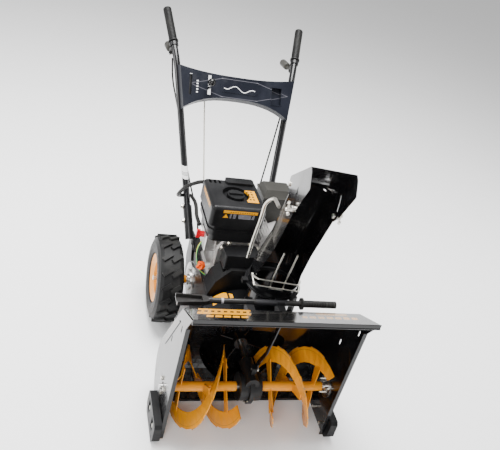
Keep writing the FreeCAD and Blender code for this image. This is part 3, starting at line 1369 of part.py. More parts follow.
# ---------------------------------------------------------------- write the parts
NODES = {
    "auger_housing": make_auger_housing,
    "left_side_plate": make_left_side_plate,
    "right_side_plate": lambda: mirror_x(make_left_side_plate()),
    "scraper_bar": make_scraper_bar,
    "left_skid_shoe": make_skid_shoe,
    "right_skid_shoe": lambda: mirror_x(make_skid_shoe()),
    "housing_bolts": make_fasteners,
    "rotor_bearings": lambda: Part.makeCompound([make_auger_bearings(), make_impeller_bearing()]),
    "auger_shaft": make_auger_shaft,
    "left_auger": make_left_auger,
    "right_auger": lambda: mirror_x(make_left_auger()),
    "gearbox_left_half": lambda: make_gearbox_half(-1),
    "gearbox_right_half": lambda: make_gearbox_half(1),
    "worm_wheel": make_worm_wheel,
    "impeller_shaft": make_impeller_rotor_shaft,
    "impeller": make_impeller,
    "impeller_housing": make_impeller_housing,
    "gearbox_stay": make_gearbox_stay,
    "chute_ring": make_chute_ring,
    "chute": make_chute,
    "chute_deflector": make_deflector,
    "deflector_fasteners": make_deflector_fasteners,
    "chute_handle": make_chute_handle,
    "wire_guard": make_wire_guard,
    "tractor_frame": make_tractor_frame,
    "axle": make_axle,
    "axle_bearings": make_axle_bearings,
    "wheel_rims": lambda: Part.makeCompound([make_rim(-1), make_rim(1)]),
    "left_tyre": lambda: make_tyre(-1),
    "right_tyre": lambda: make_tyre(1),
    "friction_disc": make_friction_disc,
    "drive_wheel": make_drive_wheel,
    "axle_gear": make_axle_gear,
    "belt_cover": make_belt_cover,
    "drive_belt": make_belt,
    "impeller_pulley": lambda: make_scaled_pulley(0, impeller_height, impeller_pulley_radius,
                                                  impeller_shaft_radius + 0.02, pulley_y),
    "crank_pulley": lambda: make_scaled_pulley(crank_x, crank_height, crank_pulley_radius,
                                               crank_radius + 0.02, pulley_y),
    "crankcase": make_crankcase,
    "cylinder": make_cylinder,
    "crankshaft": make_crankshaft,
    "fuel_tank": make_fuel_tank,
    "tank_cover": make_tank_cover,
    "fuel_cap": make_fuel_cap,
    "recoil_shroud": make_recoil_shroud,
    "recoil_grip": make_recoil_grip,
    "muffler_box": make_muffler_box,
    "oil_filler_cap": make_oil_filler_cap,
    "switch_box": make_switch_box,
    "stop_switch": make_stop_switch,
    "handle_bars": lambda: both_sides(make_handle_bar()),
    "handle_brackets": lambda: Part.makeCompound([make_handle_bracket_pair(), both_sides(make_lever_bracket())]),
    "handle_grips": lambda: both_sides(make_handle_grip()),
    "control_panel": make_control_panel,
    "speed_lever": make_speed_lever,
    "left_clutch_lever": lambda: mirror_x(make_clutch_lever()),
    "right_clutch_lever": make_clutch_lever,
    "shift_rod": make_shift_rod,
    "control_cables": make_control_cables,
    "tool_clips": make_tool_clip,
    "cleanout_tool": make_cleanout_tool,
}


def main():
    os.makedirs("parts", exist_ok=True)
    shapes = {name: make() for name, make in NODES.items()}
    bounds = FreeCAD.BoundBox()
    for shape in shapes.values():
        bounds.add(shape.optimalBoundingBox())
    to_origin = V(0, -(bounds.YMin + bounds.YMax) / 2, 0)
    for name, shape in shapes.items():
        shape.translate(to_origin)
        shape.exportStep("parts/" + name + ".step")
        print(name, round(shape.Volume / 1000.0, 1), "cm3", len(shape.Solids), "solids", shape.isValid())
    print("moved along Y by", round(to_origin.y, 3))


main()
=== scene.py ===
# %% [markdown]
# # A two stage snowblower
# The solid model of the machine already exists and has the right sizes. This notebook gives it its looks:
# the paint, the rubber, the castings, and the small pieces that are too fine to be solids.
# The first cell loads the solid model as a fixed frame. Every later piece takes its place from it.

# %% Load the frame
import bmesh
import bpy
import math
from mathutils import Matrix, Vector


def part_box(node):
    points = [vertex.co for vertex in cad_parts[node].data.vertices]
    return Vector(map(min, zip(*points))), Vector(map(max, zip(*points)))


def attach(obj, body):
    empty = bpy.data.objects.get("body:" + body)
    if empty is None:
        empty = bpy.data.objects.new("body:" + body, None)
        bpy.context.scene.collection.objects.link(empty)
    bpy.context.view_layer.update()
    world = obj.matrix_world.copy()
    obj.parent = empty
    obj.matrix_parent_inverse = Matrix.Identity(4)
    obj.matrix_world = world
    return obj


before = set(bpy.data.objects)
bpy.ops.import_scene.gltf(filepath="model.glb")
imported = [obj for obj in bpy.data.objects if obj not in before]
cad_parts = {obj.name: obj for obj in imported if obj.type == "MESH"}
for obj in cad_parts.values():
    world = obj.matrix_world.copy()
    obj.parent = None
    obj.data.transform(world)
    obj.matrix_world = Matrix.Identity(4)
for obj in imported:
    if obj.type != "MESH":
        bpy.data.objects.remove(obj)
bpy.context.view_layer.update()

AXLE_Y = 0.522                # the wheels' axle lies this far behind the auger shaft, the drawing's zero
axle_low, axle_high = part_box("axle")
shift = (axle_low.y + axle_high.y) / 2 - AXLE_Y
print("frame loaded,", len(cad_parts), "nodes, drawing moved along Y by", round(shift, 4))


def y_at(drawing_y):
    """The frame's Y, in metres, of a Y in the drawing's millimetres."""
    return drawing_y / 1000 + shift


def at(x, y, z):
    """A point given in the drawing's millimetres, in the frame's metres."""
    return Vector((x / 1000, y_at(y), z / 1000))


# %% [markdown]
# ## Camera
# The machine is seen from its left front, from above a standing person's shoulder. The camera is rolled a
# little, so uprights lean. A camera's matrix has its right, up and backward directions as columns, so the
# three turns (yaw, pitch, roll) are worked out as directions and written straight into that matrix.

# %% Camera
CAMERA_PLACE = at(-686.1, -1432.8, 1692.5)
YAW, PITCH, ROLL = 0.36275, 0.54234, 0.26958      # radians
FOCAL_WIDTHS = 660.797 / 500          # focal length over the width of the picture


def camera_matrix():
    level = Vector((math.sin(YAW), math.cos(YAW), 0))
    side = Vector((math.cos(YAW), -math.sin(YAW), 0))
    up = Vector((0, 0, 1))
    forward = level * math.cos(PITCH) - up * math.sin(PITCH)
    lifted = up * math.cos(PITCH) + level * math.sin(PITCH)
    right = side * math.cos(ROLL) + lifted * math.sin(ROLL)
    top = lifted * math.cos(ROLL) - side * math.sin(ROLL)
    turn = Matrix((right, top, -forward)).transposed().to_4x4()
    return Matrix.Translation(CAMERA_PLACE) @ turn


lens = bpy.data.cameras.new("camera")
lens.sensor_width = 36.0
lens.lens = FOCAL_WIDTHS * lens.sensor_width
camera = bpy.data.objects.new("camera", lens)
bpy.context.collection.objects.link(camera)
camera.matrix_world = camera_matrix()
bpy.context.scene.camera = camera
print("camera lens", round(lens.lens, 2), "mm")

# %% [markdown]
# ## Studio
# Gloss black shows almost nothing but what it reflects, so large soft lights do most of the work: a wide one
# overhead, one in front that the curved housing picks up as a pale band, and a dim one at each side for the
# edges. A small number of strong lamps would leave hard dots on the paint instead.

# %% Lights
LIGHTS = (  # name, place, target, width, height, watts
    ("light_above", (-0.3, 0.3, 3.4), (0, 0, 0.2), 2.0, 2.0, 330),
    ("light_front", (-1.3, -3.0, 1.9), (0, 0, 0.3), 1.6, 1.2, 70),
    ("light_left", (-2.9, 0.3, 1.5), (0, 0, 0.5), 1.6, 1.6, 70),
    ("light_right", (2.9, -0.4, 1.7), (0, 0, 0.5), 1.0, 2.0, 40),
)
WORLD_STRENGTH = 0.6

for name, place, target, width, height, watts in LIGHTS:
    light = bpy.data.lights.new(name, "AREA")
    light.shape = "RECTANGLE"
    light.size, light.size_y = width, height
    light.energy = watts
    lamp = bpy.data.objects.new(name, light)
    bpy.context.collection.objects.link(lamp)
    turn = (Vector(target) - Vector(place)).to_track_quat("-Z", "Y").to_matrix().to_4x4()
    lamp.matrix_world = Matrix.Translation(place) @ turn

world = bpy.data.worlds.new("studio")
bpy.context.scene.world = world
world.use_nodes = True
sky = world.node_tree.nodes["Background"].inputs
sky["Color"].default_value = (1.0, 1.0, 1.0, 1)
sky["Strength"].default_value = WORLD_STRENGTH
print(len(LIGHTS), "lights and an even sky of strength", WORLD_STRENGTH)

# %% Floor
FLOOR_HALF = 30
floor_bm = bmesh.new()
bmesh.ops.create_grid(floor_bm, x_segments=1, y_segments=1, size=FLOOR_HALF)
floor_mesh = bpy.data.meshes.new("floor")
floor_bm.to_mesh(floor_mesh)
floor_bm.free()
floor = bpy.data.objects.new("floor", floor_mesh)
bpy.context.collection.objects.link(floor)
print("floor", 2 * FLOOR_HALF, "m wide")


# %% [markdown]
# ## Shader arithmetic
# A finish is a small sum: so much colour, a little noise, less gloss where it is dusty. The class below wraps
# one socket, so that such sums can be written as ordinary expressions, and each sign adds its Math node.

# %% Values
class Value:
    """A value inside a finish. Arithmetic on it adds Math nodes."""

    def __init__(self, finish, socket):
        self.finish, self.socket = finish, socket

    def maths(self, operation, *values):
        return self.finish.node("ShaderNodeMath", {"operation": operation}, dict(enumerate(values)))

    def __add__(self, other):
        return self.maths("ADD", self, other)

    def __sub__(self, other):
        return self.maths("SUBTRACT", self, other)

    def __rsub__(self, other):
        return self.maths("SUBTRACT", other, self)

    def __mul__(self, other):
        return self.maths("MULTIPLY", self, other)

    def __truediv__(self, other):
        return self.maths("DIVIDE", self, other)

    def __rtruediv__(self, other):
        return self.maths("DIVIDE", other, self)

    def __gt__(self, other):
        return self.maths("GREATER_THAN", self, other)

    def __lt__(self, other):
        return self.maths("LESS_THAN", self, other)

    __radd__ = __add__
    __rmul__ = __mul__

    def absolute(self):
        return self.maths("ABSOLUTE", self)

    def fract(self):
        return self.maths("FRACT", self)

    def root(self):
        return self.maths("SQRT", self)

    def sine(self):
        return self.maths("SINE", self)

    def squared(self):
        return self * self

    def between(self, low, high):
        return (self > low) * (self < high)

    def dashes(self, pitch, share):
        """Stripes that fill a share of each pitch: the stand-in for lines of print."""
        return (self / pitch).fract() < share

    def ramp(self, low, high):
        """0 below low, 1 above high, and smooth between."""
        return self.finish.node("ShaderNodeMapRange", {"interpolation_type": "SMOOTHSTEP"},
                                {0: self, 1: low, 2: high})


print("a value knows", len([n for n in vars(Value) if callable(getattr(Value, n))]), "operations")


# %% [markdown]
# ## A finish
# A finish is a material with one shader. Places on a piece are read from Object coordinates, because every
# piece has its origin at the machine's, so a pattern measured in metres stays where it was drawn when the
# piece moves. One method adds any node, so the finishes below read as short lists of what they are made of.

# %% Finishes
class Finish:
    """A material built up by name."""

    def __init__(self, name, colour, roughness, metallic=0.0, coat=0.0, coat_roughness=0.05, specular=0.5):
        self.material = bpy.data.materials.new(name)
        self.material.use_nodes = True
        self.nodes = self.material.node_tree.nodes
        self.shader = self.nodes["Principled BSDF"]
        self.set("Base Color", colour)
        self.set("Roughness", roughness)
        self.set("Metallic", metallic)
        self.set("Coat Weight", coat)
        self.set("Coat Roughness", coat_roughness)
        self.set("Specular IOR Level", specular)
        self.material.diffuse_color = (*colour, 1)

    def node(self, kind, settings, values, out=None):
        """Adds any node, sets it up, feeds its sockets and returns its output."""
        node = self.nodes.new(kind)
        for key, setting in settings.items():
            setattr(node, key, setting)
        for key, value in values.items():
            self.feed(node.inputs[key], value)
        chosen = [s for s in node.outputs if s.enabled] if out is None else [node.outputs[out]]
        return Value(self, chosen[0])

    def feed(self, socket, value):
        if isinstance(value, Value):
            self.material.node_tree.links.new(value.socket, socket)
        elif isinstance(value, tuple) and len(value) == 3 and socket.type == "RGBA":
            socket.default_value = (*value, 1)
        else:
            socket.default_value = value

    def set(self, name, value):
        self.feed(self.shader.inputs[name], value)

    def place(self):
        return self.node("ShaderNodeTexCoord", {}, {}, "Object")

    def axis(self, letter):
        return self.node("ShaderNodeSeparateXYZ", {}, {0: self.place()}, letter)

    def noise(self, scale, detail=3.0, stretch=None, distortion=0.0):
        vector = self.place()
        if stretch:
            vector = self.node("ShaderNodeMapping", {}, {"Vector": vector, "Scale": stretch})
        return self.node("ShaderNodeTexNoise", {},
                         {"Vector": vector, "Scale": scale, "Detail": detail, "Distortion": distortion}, 0)

    def mix(self, first, second, amount):
        return self.node("ShaderNodeMix", {"data_type": "RGBA"}, {0: amount, 6: first, 7: second}, 2)

    def along(self, way, point=None):
        """How far a point lies along a direction, in metres, from the origin."""
        return self.node("ShaderNodeVectorMath", {"operation": "DOT_PRODUCT"},
                         {0: point or self.place(), 1: tuple(way)}, "Value")

    def patch(self, **spans):
        """1 inside a box given as X=(low, high), Y=... in metres."""
        mask = None
        for letter, span in spans.items():
            inside = self.axis(letter).between(*span)
            mask = inside if mask is None else mask * inside
        return mask

    def inked(self, tone, marks):
        """A colour with each mark's ink laid over it where its mask says so."""
        for mask, ink in marks:
            tone = self.mix(tone, ink, mask)
        return tone

    def bump(self, height, distance):
        self.set("Normal", self.node("ShaderNodeBump", {}, {"Height": height, "Distance": distance}))


def no_marks(finish):
    return []


def lighter(colour, factor, lift):
    return tuple(min(1, c * factor + lift) for c in colour)


def darker(colour, factor):
    return tuple(c * factor for c in colour)


AMBER, PALE = (0.66, 0.28, 0.004), (0.62, 0.60, 0.66)
INK, WHITE = (0.012, 0.012, 0.012), (0.75, 0.75, 0.75)
print("inks for the marks: amber, pale, ink, white")

# %% [markdown]
# ## Painted steel
# The housing and chute are pressed sheet with a thick gloss coat. Such paint is never quite flat: it has a
# fine orange peel, a few handling scratches and some dust that settles low down, where it dulls the shine.
# A painted picture could be wrapped round each piece, but noise in three dimensions needs no seams.

# %% Painted steel
DUST = (0.16, 0.155, 0.145)
DUST_LOW, DUST_HIGH = 0.02, 0.30        # heights between which the dust thins out
LONG_SCRATCH = (1, 0.06, 1)             # noise drawn out along the machine


def painted(name, colour, roughness=0.16, peel=0.00012, dust=0.10, coat=0.32, scratch=0.25, marks=no_marks,
            specular=0.22):
    f = Finish(name, colour, roughness, coat=coat, coat_roughness=0.06, specular=specular)
    cloud = f.noise(4.5, 4.0)
    scratches = f.noise(90, 2.0, LONG_SCRATCH).ramp(0.66, 0.70) * scratch
    settled = 1 - f.axis("Z").ramp(DUST_LOW, DUST_HIGH)
    dusty = settled * f.noise(38, 5.0).ramp(0.42, 0.72) * dust
    tone = f.mix(colour, lighter(colour, 1.25, 0.002), cloud.ramp(0.35, 0.7))
    f.set("Base Color", f.mix(f.inked(tone, marks(f)), DUST, dusty))
    f.set("Roughness", cloud * 0.10 + (roughness - 0.05) + scratches * 0.25 + dusty * 1.6)
    f.bump(f.noise(420, 2.0) + scratches * -0.3, peel)
    return f.material


JET, SATIN = (0.0035, 0.0035, 0.004), (0.006, 0.006, 0.0065)
black_paint = painted("gloss_black_paint", JET)
frame_paint = painted("satin_black_paint", SATIN, roughness=0.34, coat=0.1, peel=0.0002)
orange_paint = painted("mustard_paint", (0.62, 0.225, 0.002), roughness=0.34, dust=0.12, coat=0.25, peel=0.0003)
print("paints:", black_paint.name, frame_paint.name, orange_paint.name)

# %% [markdown]
# ## Marks on the visor
# The visor carries a printed amber band and rows of small print. Real words are left out: bands and rows of
# dashes keep the look. They are masks in the shader rather than pieces, because print has no thickness, and
# they lean with the slant of the visor.

# %% Visor marks
VISOR_ABOVE = 0.44            # only the visor is this high on the housing
VISOR_SLANT = -0.32


def housing_marks(f):
    """A slanted amber band with a row of blocks before it, and a paler row and band on the other side."""
    slanted = f.axis("X") + (f.axis("Y") - shift) * VISOR_SLANT
    on_visor = f.axis("Z") > VISOR_ABOVE

    def strip(left, right, front, back):
        return slanted.between(left, right) * f.patch(Y=(y_at(front), y_at(back))) * on_visor

    band = strip(-0.228, -0.072, -82, -22)
    letters = slanted.dashes(0.019, 0.55) * f.patch(Y=(y_at(-60), y_at(-42)))
    row = strip(-0.205, -0.080, -112, -92) * slanted.dashes(0.025, 0.8)
    far_row = strip(0.085, 0.262, -96, -70) * slanted.dashes(0.027, 0.74)
    far_band = strip(0.135, 0.235, -56, -32)
    return [(band, AMBER), (band * letters * 0.85, INK), (row, AMBER), (far_row * 0.6, AMBER),
            (far_band * 0.45, AMBER)]


housing_paint = painted("housing_paint", JET, marks=housing_marks)
print(housing_paint.name, "has", len(housing_paint.node_tree.nodes), "nodes")

# %% [markdown]
# ## Marks on the drum and the bar, wear and painted shade on the ribbons
# The drum has a small amber sign and the left bar has a white slip stuck round it. The ribbons have a
# pressed line near their edge, painted darker as the shade in its crease, and snow and grit have scraped
# the edge back to metal. The edge is found by its distance from the shaft, so the scraping follows the
# ribbon however it winds.

# %% Drum and bar marks, ribbon wear and painted crease shade
SIGN_SLOPE, SIGN_EDGE = 0.8, 0.205
SLIP_X = (-0.20, -0.14)
SHAFT_HEIGHT = 0.145


def drum_marks(f):
    """A small amber sign on the upper left of the drum, cut off along a slope."""
    x, y = f.axis("X"), f.axis("Y")
    edge = x * SIGN_SLOPE + (y - shift)
    body = f.patch(X=(-0.108, -0.045), Y=(y_at(222), y_at(262))) * (edge < SIGN_EDGE) * (f.axis("Z") > 0.2)
    return [(body, AMBER), (body * x.between(-0.062, -0.056), INK)]


def bar_marks(f):
    """The small white slip that is stuck round the left bar."""
    print_lines = f.patch(X=SLIP_X, Z=(0.506, 0.520)) * f.axis("Z").dashes(0.004, 0.5)
    return [(f.patch(X=SLIP_X, Z=(0.497, 0.537)), WHITE), (print_lines * 0.8, INK)]


def auger_wear_and_crease_shade(f):
    """Painted shade along a pressed line inside the ribbon's edge, and the edge itself scraped to dull metal.
    """
    reach = ((f.axis("Y") - y_at(0)).squared() + (f.axis("Z") - SHAFT_HEIGHT).squared()).root()
    scraped = (reach > 0.1325) * f.noise(70, 3.0).ramp(0.45, 0.6)
    # the darker orange at the pressed line is painted shade in its crease; the scraped edge is real wear
    return [(reach.between(0.1205, 0.1225) * 0.55, (0.22, 0.09, 0.006)), (scraped * 0.8, (0.20, 0.17, 0.13))]


drum_paint = painted("drum_paint", JET, marks=drum_marks)
bar_paint = painted("bar_paint", JET, roughness=0.2, coat=0.3, marks=bar_marks)
auger_paint = painted("auger_paint", (0.66, 0.25, 0.003), roughness=0.32, dust=0.12, coat=0.3, peel=0.0003,
                      marks=auger_wear_and_crease_shade)
print("marked paints:", drum_paint.name, bar_paint.name, auger_paint.name)


# %% [markdown]
# ## Bare metal and castings
# Shafts are turned and bolts are plated, so they shine with a fine grain. The crankcase and gearbox are cast:
# pebbled, soft and uneven in tone. Both are one metal shader with noise on it, and differ in how the noise is
# drawn out and how rough it leaves the surface.

# %% Metals
def bare(name, colour, roughness=0.32, grain=(1, 1, 14), scale=60, metallic=1.0, relief=0.00012, dark=0.55):
    """Bare or plated metal with a drawn grain and duller patches."""
    f = Finish(name, colour, roughness, metallic=metallic)
    lines = f.noise(scale, 3.0, grain)
    patches = f.noise(11, 4.0)
    dull = patches.ramp(0.45, 0.8) * 0.6 + lines.ramp(0.5, 0.8) * 0.3
    f.set("Base Color", f.mix(colour, darker(colour, dark), dull))
    f.set("Roughness", lines * 0.16 + patches * 0.18 + (roughness - 0.17))
    f.bump(lines, relief)
    return f.material


def cast(name, colour, roughness=0.55, metallic=1.0, grit=0.0004, specular=0.3):
    """A sand or die casting."""
    f = Finish(name, colour, roughness, metallic=metallic, specular=specular)
    grains = f.noise(310, 4.0)
    patches = f.noise(9, 4.0)
    f.set("Base Color", f.mix(colour, darker(colour, 0.62), patches.ramp(0.4, 0.75) * 0.7))
    f.set("Roughness", patches * 0.2 + (roughness - 0.1))
    f.bump(grains + patches * 0.6, grit)
    return f.material


steel = bare("bright_steel", (0.58, 0.575, 0.56), 0.30)
zinc = bare("zinc_plate", (0.72, 0.69, 0.62), 0.30, scale=110, grain=(1, 1, 2))
bronze = bare("bronze", (0.62, 0.42, 0.16), 0.32)
alloy = cast("cast_alloy", (0.70, 0.68, 0.66), 0.42)
black_casting = cast("black_casting", (0.009, 0.009, 0.0095), 0.42, metallic=0.0, grit=0.0006)
print("metals:", steel.name, zinc.name, bronze.name, alloy.name, black_casting.name)


# %% [markdown]
# ## Moulded plastic
# The covers, caps and shoes are moulded. A mould is spark eroded, which leaves a fine grain of cells, and the
# plastic flows in it and leaves cloudy streaks. The grain is a Voronoi pattern used only as a bump.

# %% Plastics
def moulded(name, colour, roughness=0.45, grain=0.00025, scale=480, coat=0.0, dust=0.04, marks=no_marks,
            specular=0.16):
    """Moulded plastic with a fine grain, flow marks and a little dust."""
    f = Finish(name, colour, roughness, coat=coat, specular=specular)
    cells = f.node("ShaderNodeTexVoronoi", {}, {"Vector": f.place(), "Scale": scale}, 0)
    flow = f.noise(7, 3.0, (1, 1, 0.4), 0.6)
    dusty = f.noise(24, 5.0).ramp(0.5, 0.78) * dust
    tone = f.mix(colour, lighter(colour, 1.5, 0.003), flow.ramp(0.4, 0.7))
    f.set("Base Color", f.mix(f.inked(tone, marks(f)), DUST, dusty))
    f.set("Roughness", flow * 0.12 + (roughness - 0.06) + dusty * 0.8)
    f.bump(cells, grain)
    return f.material


black_plastic = moulded("black_plastic", SATIN, 0.42)
gloss_plastic = moulded("gloss_plastic", (0.002, 0.002, 0.0025), 0.12, grain=0.00003, coat=0.3)
grey_plastic = moulded("grey_plastic", (0.030, 0.029, 0.026), 0.42)
orange_plastic = moulded("orange_plastic", (0.66, 0.075, 0.002), 0.38)
red_plastic = moulded("red_plastic", (0.45, 0.003, 0.012), 0.22, grain=0.0001, coat=0.3, dust=0.0)
print("plastics:", black_plastic.name, gloss_plastic.name, grey_plastic.name, orange_plastic.name,
      red_plastic.name)

# %% [markdown]
# ## Labels on the tank cover, and the tool's ring and painted highlights
# The tank cover has amber labels in front, on top and at its left side. Each is a box in space: where the
# cover passes through the box it takes the label's ink. The clean-out tool has a pale ring, a paler middle
# band that is a painted highlight, and lighter bands at its grip that are painted highlights on its ridges.

# %% Tank cover and tool
TANK_FRONT = (y_at(340), y_at(354.5))
LABEL_TEXT_Z = (0.567, 0.582)
TOOL_GRIP_X = 0.19


def tank_marks(f):
    """Labels of plain bars on the tank cover: front, top right and left side."""
    x, y, z = f.axis("X"), f.axis("Y"), f.axis("Z")
    front = f.patch(Y=TANK_FRONT)
    band = front * f.patch(X=(-0.112, 0.006), Z=(0.585, 0.5955))
    band_ink = band * f.patch(X=(-0.088, 0.0), Z=(0.588, 0.592)) * x.dashes(0.008, 0.5)
    triangle = front * f.patch(X=(-0.112, -0.092), Z=LABEL_TEXT_Z) * \
        ((x + 0.102).absolute() * 1.5 + z < LABEL_TEXT_Z[1])
    words = front * f.patch(X=(-0.088, -0.002), Z=LABEL_TEXT_Z) * z.dashes(0.0045, 0.4) * \
        (f.noise(90, 1.0, (1, 1, 0.1)) > 0.42)
    top = f.patch(X=(-0.022, 0.018), Y=(y_at(392), y_at(470)), Z=(0.598, 0.609))
    top_ink = top * f.patch(X=(-0.016, 0.012), Y=(y_at(398), y_at(464))) * \
        y.dashes(0.017, 0.55) * x.dashes(0.012, 0.62)
    side = f.patch(X=(-0.160, -0.1445), Y=(y_at(380), y_at(500)), Z=(0.580, 0.594))
    return [(band, AMBER), (band_ink * 0.8, INK), (triangle, AMBER), (words * 0.55, PALE), (top, AMBER),
            (top_ink * 0.9, INK), (side, AMBER), (side * y.dashes(0.021, 0.4) * 0.8, INK)]


def tool_ring_and_highlights(f):
    """A pale ring, and painted highlights: lighter bands on the grip's ridges and a paler middle."""
    x = f.axis("X")
    return [(x.between(-0.150, -0.143), (0.35, 0.34, 0.36)),
            # lighter bands on the grip: painted highlights where its ridges catch the light
            ((x > TOOL_GRIP_X) * x.dashes(0.012, 0.4), (0.03, 0.029, 0.027)),
            # paler middle: a painted highlight along the tool
            (x.between(-0.04, 0.06), (0.022, 0.022, 0.024))]


tank_plastic = moulded("tank_plastic", SATIN, 0.33, marks=tank_marks)
tool_plastic = moulded("tool_plastic", (0.014, 0.013, 0.0125), 0.30, marks=tool_ring_and_highlights, specular=0.4)
print("marked plastics:", tank_plastic.name, tool_plastic.name)

# %% [markdown]
# ## Control panel
# The panel leans back with the handle bars. Its badge is a long six sided outline round a plain flourish. All
# of it is measured up the bars' slope instead of straight up, so that the lines stay parallel to the panel.

# %% Control panel
BAR_FOOT = at(0, 606, 340)
BAR_SLOPE = Vector((0, 370, 515)).normalized()
PANEL_MIDDLE = 0.543          # up the bars from their foot
BADGE_X = 0.007


def panel_marks(f):
    """A long six-sided badge outline with a plain flourish, and gear ticks beside the slot."""
    x = f.axis("X") - BADGE_X
    up = f.along(BAR_SLOPE) - BAR_FOOT.dot(BAR_SLOPE) - PANEL_MIDDLE
    reach = x.absolute() * 0.28 + up.absolute()
    outline = reach.between(0.0535, 0.0555) * (up.absolute() < 0.036)
    edge = up.absolute().between(0.034, 0.036) * (reach < 0.0555)
    wave = (up + (x * 95).sine() * 0.007 + (x * 41).sine() * 0.004).absolute()
    flourish = (wave < 0.0013) * (x.absolute() < 0.062)
    ticks = f.patch(X=(-0.162, -0.155)) * up.between(-0.035, 0.02) * up.dashes(0.0105, 0.4)
    return [((outline + edge) * 0.12, PALE), (flourish, WHITE), (ticks, WHITE)]


panel_plastic = moulded("panel_plastic", (0.005, 0.006, 0.010), 0.3, marks=panel_marks)
print(panel_plastic.name, "has", len(panel_plastic.node_tree.nodes), "nodes")

# %% [markdown]
# ## Rubber
# Rubber is matt, with a grey bloom where it has aged. The grips have rings across them, the tyre's wall has
# raised rings and blocks, and the sheathed cables have close ribs. These are shallow, so they are bumps; the
# tyre's lugs are deep and are part of the solid.

# %% Rubbers
BLOOM = (0.07, 0.067, 0.06)
GRIP_WAY = Vector((40, 170, 135)).normalized()
CABLE_WAY = Vector((0.35, 0.5, 0.8)).normalized()
GRIP_RING, CABLE_RIB = 0.006, 0.0055
WHEEL_Y, WHEEL_RADIUS = y_at(522), 0.166


def no_relief(finish):
    return 0.0


def rubbery(name, colour, roughness=0.72, height=0.0004, bloom=0.22, relief=no_relief):
    """Rubber with fine pores, and any relief laid over them."""
    f = Finish(name, colour, roughness, specular=0.16)
    aged = f.noise(14, 5.0).ramp(0.45, 0.75) * bloom
    f.set("Base Color", f.mix(colour, BLOOM, aged))
    f.set("Roughness", aged * 0.5 + (roughness - 0.05))
    f.bump(f.noise(260, 4.0) + relief(f), height)
    return f.material


def grip_ribs(f):
    """Rings across both grips, which mirror each other."""
    mirrored = f.node("ShaderNodeCombineXYZ", {}, {0: f.axis("X").absolute(), 1: f.axis("Y"), 2: f.axis("Z")})
    return (f.along(GRIP_WAY, mirrored) / GRIP_RING).fract().ramp(0.15, 0.5) * 3.0


def tyre_rings(f):
    """Raised rings and a row of plain blocks on the tyre's wall."""
    y, z = f.axis("Y") - WHEEL_Y, f.axis("Z") - WHEEL_RADIUS
    reach = (y.squared() + z.squared()).root()
    turn = y.maths("ARCTAN2", y, z)
    rings = reach.between(0.101, 0.103) + reach.between(0.129, 0.131)
    blocks = reach.between(0.109, 0.122) * turn.dashes(0.105, 0.62) * ((turn * 2.0).sine() > 0.3)
    return (rings + blocks) * 2.0


def sleeve_ribs(f):
    """Close ribs along the sheathed cables, which mostly run up and down the bars."""
    return (f.along(CABLE_WAY) / CABLE_RIB).fract().ramp(0.1, 0.5) * 3.0


rubber = rubbery("black_rubber", (0.008, 0.008, 0.008))
cable_rubber = rubbery("cable_rubber", (0.010, 0.0095, 0.009), 0.45, 0.0006, relief=sleeve_ribs)
grip_rubber = rubbery("grip_rubber", (0.007, 0.007, 0.007), 0.5, 0.0007, relief=grip_ribs)
tyre_rubber = rubbery("tyre_rubber", (0.009, 0.009, 0.009), 0.55, 0.0006, relief=tyre_rings)
print("rubbers:", rubber.name, cable_rubber.name, grip_rubber.name, tyre_rubber.name)


# %% [markdown]
# ## Floor finish
# A studio sweep is matt paper. It is nearly even: a very faint cloud keeps it from looking computed.

# %% Floor finish
def floor_finish(colour=(0.97, 0.97, 0.97), shade=(0.95, 0.95, 0.955)):
    f = Finish("pale_floor", colour, 0.9, specular=0.1)
    f.set("Base Color", f.mix(colour, shade, f.noise(0.9, 3.0)))
    f.bump(f.noise(60, 3.0), 0.0002)
    return f.material


floor.data.materials.append(floor_finish())
print(len(bpy.data.materials), "materials in the file")

# %% [markdown]
# ## Finishes on the solid model
# Each solid keeps its shape and only gets a better surface. The table pairs a finish with the solids that
# have it, and the last line prints any that were forgotten.

# %% Finishes on the solids
wears = {
    black_paint: ["left_side_plate", "right_side_plate", "chute", "chute_deflector", "gearbox_stay",
                  "impeller"],
    housing_paint: ["auger_housing"],
    drum_paint: ["impeller_housing"],
    bar_paint: ["handle_bars"],
    frame_paint: ["tractor_frame", "handle_brackets", "scraper_bar", "recoil_shroud", "fuel_tank"],
    auger_paint: ["left_auger", "right_auger"],
    orange_paint: ["wheel_rims"],
    steel: ["auger_shaft", "impeller_shaft", "crankshaft", "friction_disc", "axle_gear", "axle",
            "rotor_bearings", "axle_bearings"],
    zinc: ["housing_bolts", "deflector_fasteners", "chute_handle", "wire_guard", "shift_rod"],
    alloy: ["crankcase", "cylinder", "crank_pulley", "impeller_pulley", "switch_box"],
    black_casting: ["gearbox_left_half", "gearbox_right_half"],
    bronze: ["worm_wheel"],
    black_plastic: ["left_skid_shoe", "right_skid_shoe", "belt_cover", "fuel_cap", "recoil_grip",
                    "tool_clips", "chute_ring"],
    tool_plastic: ["cleanout_tool"],
    panel_plastic: ["control_panel"],
    tank_plastic: ["tank_cover"],
    gloss_plastic: ["speed_lever"],
    grey_plastic: ["muffler_box", "left_clutch_lever", "right_clutch_lever"],
    orange_plastic: ["oil_filler_cap"],
    red_plastic: ["stop_switch"],
    rubber: ["drive_belt", "drive_wheel"],
    cable_rubber: ["control_cables"],
    grip_rubber: ["handle_grips"],
    tyre_rubber: ["left_tyre", "right_tyre"],
}
for finish, names in wears.items():
    for name in names:
        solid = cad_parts[name]
        solid.data.materials.clear()
        solid.data.materials.append(finish)
finished = [name for names in wears.values() for name in names]
print("solids finished:", len(finished), "left out:", sorted(set(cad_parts) - set(finished)))


# %% [markdown]
# ## Bolts
# Screw heads are small, but a machine without them looks like a toy. Each is a six sided head on a washer,
# made by two cones with equal ends, and bevelled so its edges catch light. All the bolts of one body make one
# mesh, because they never move apart.

# %% Bolt helpers
WASHER_RADIUS, WASHER_HEIGHT = 0.85, 0.12       # shares of the width across the head
HEAD_RADIUS, HEAD_HEIGHT, HEAD_BEVEL = 0.58, 0.6, 0.05


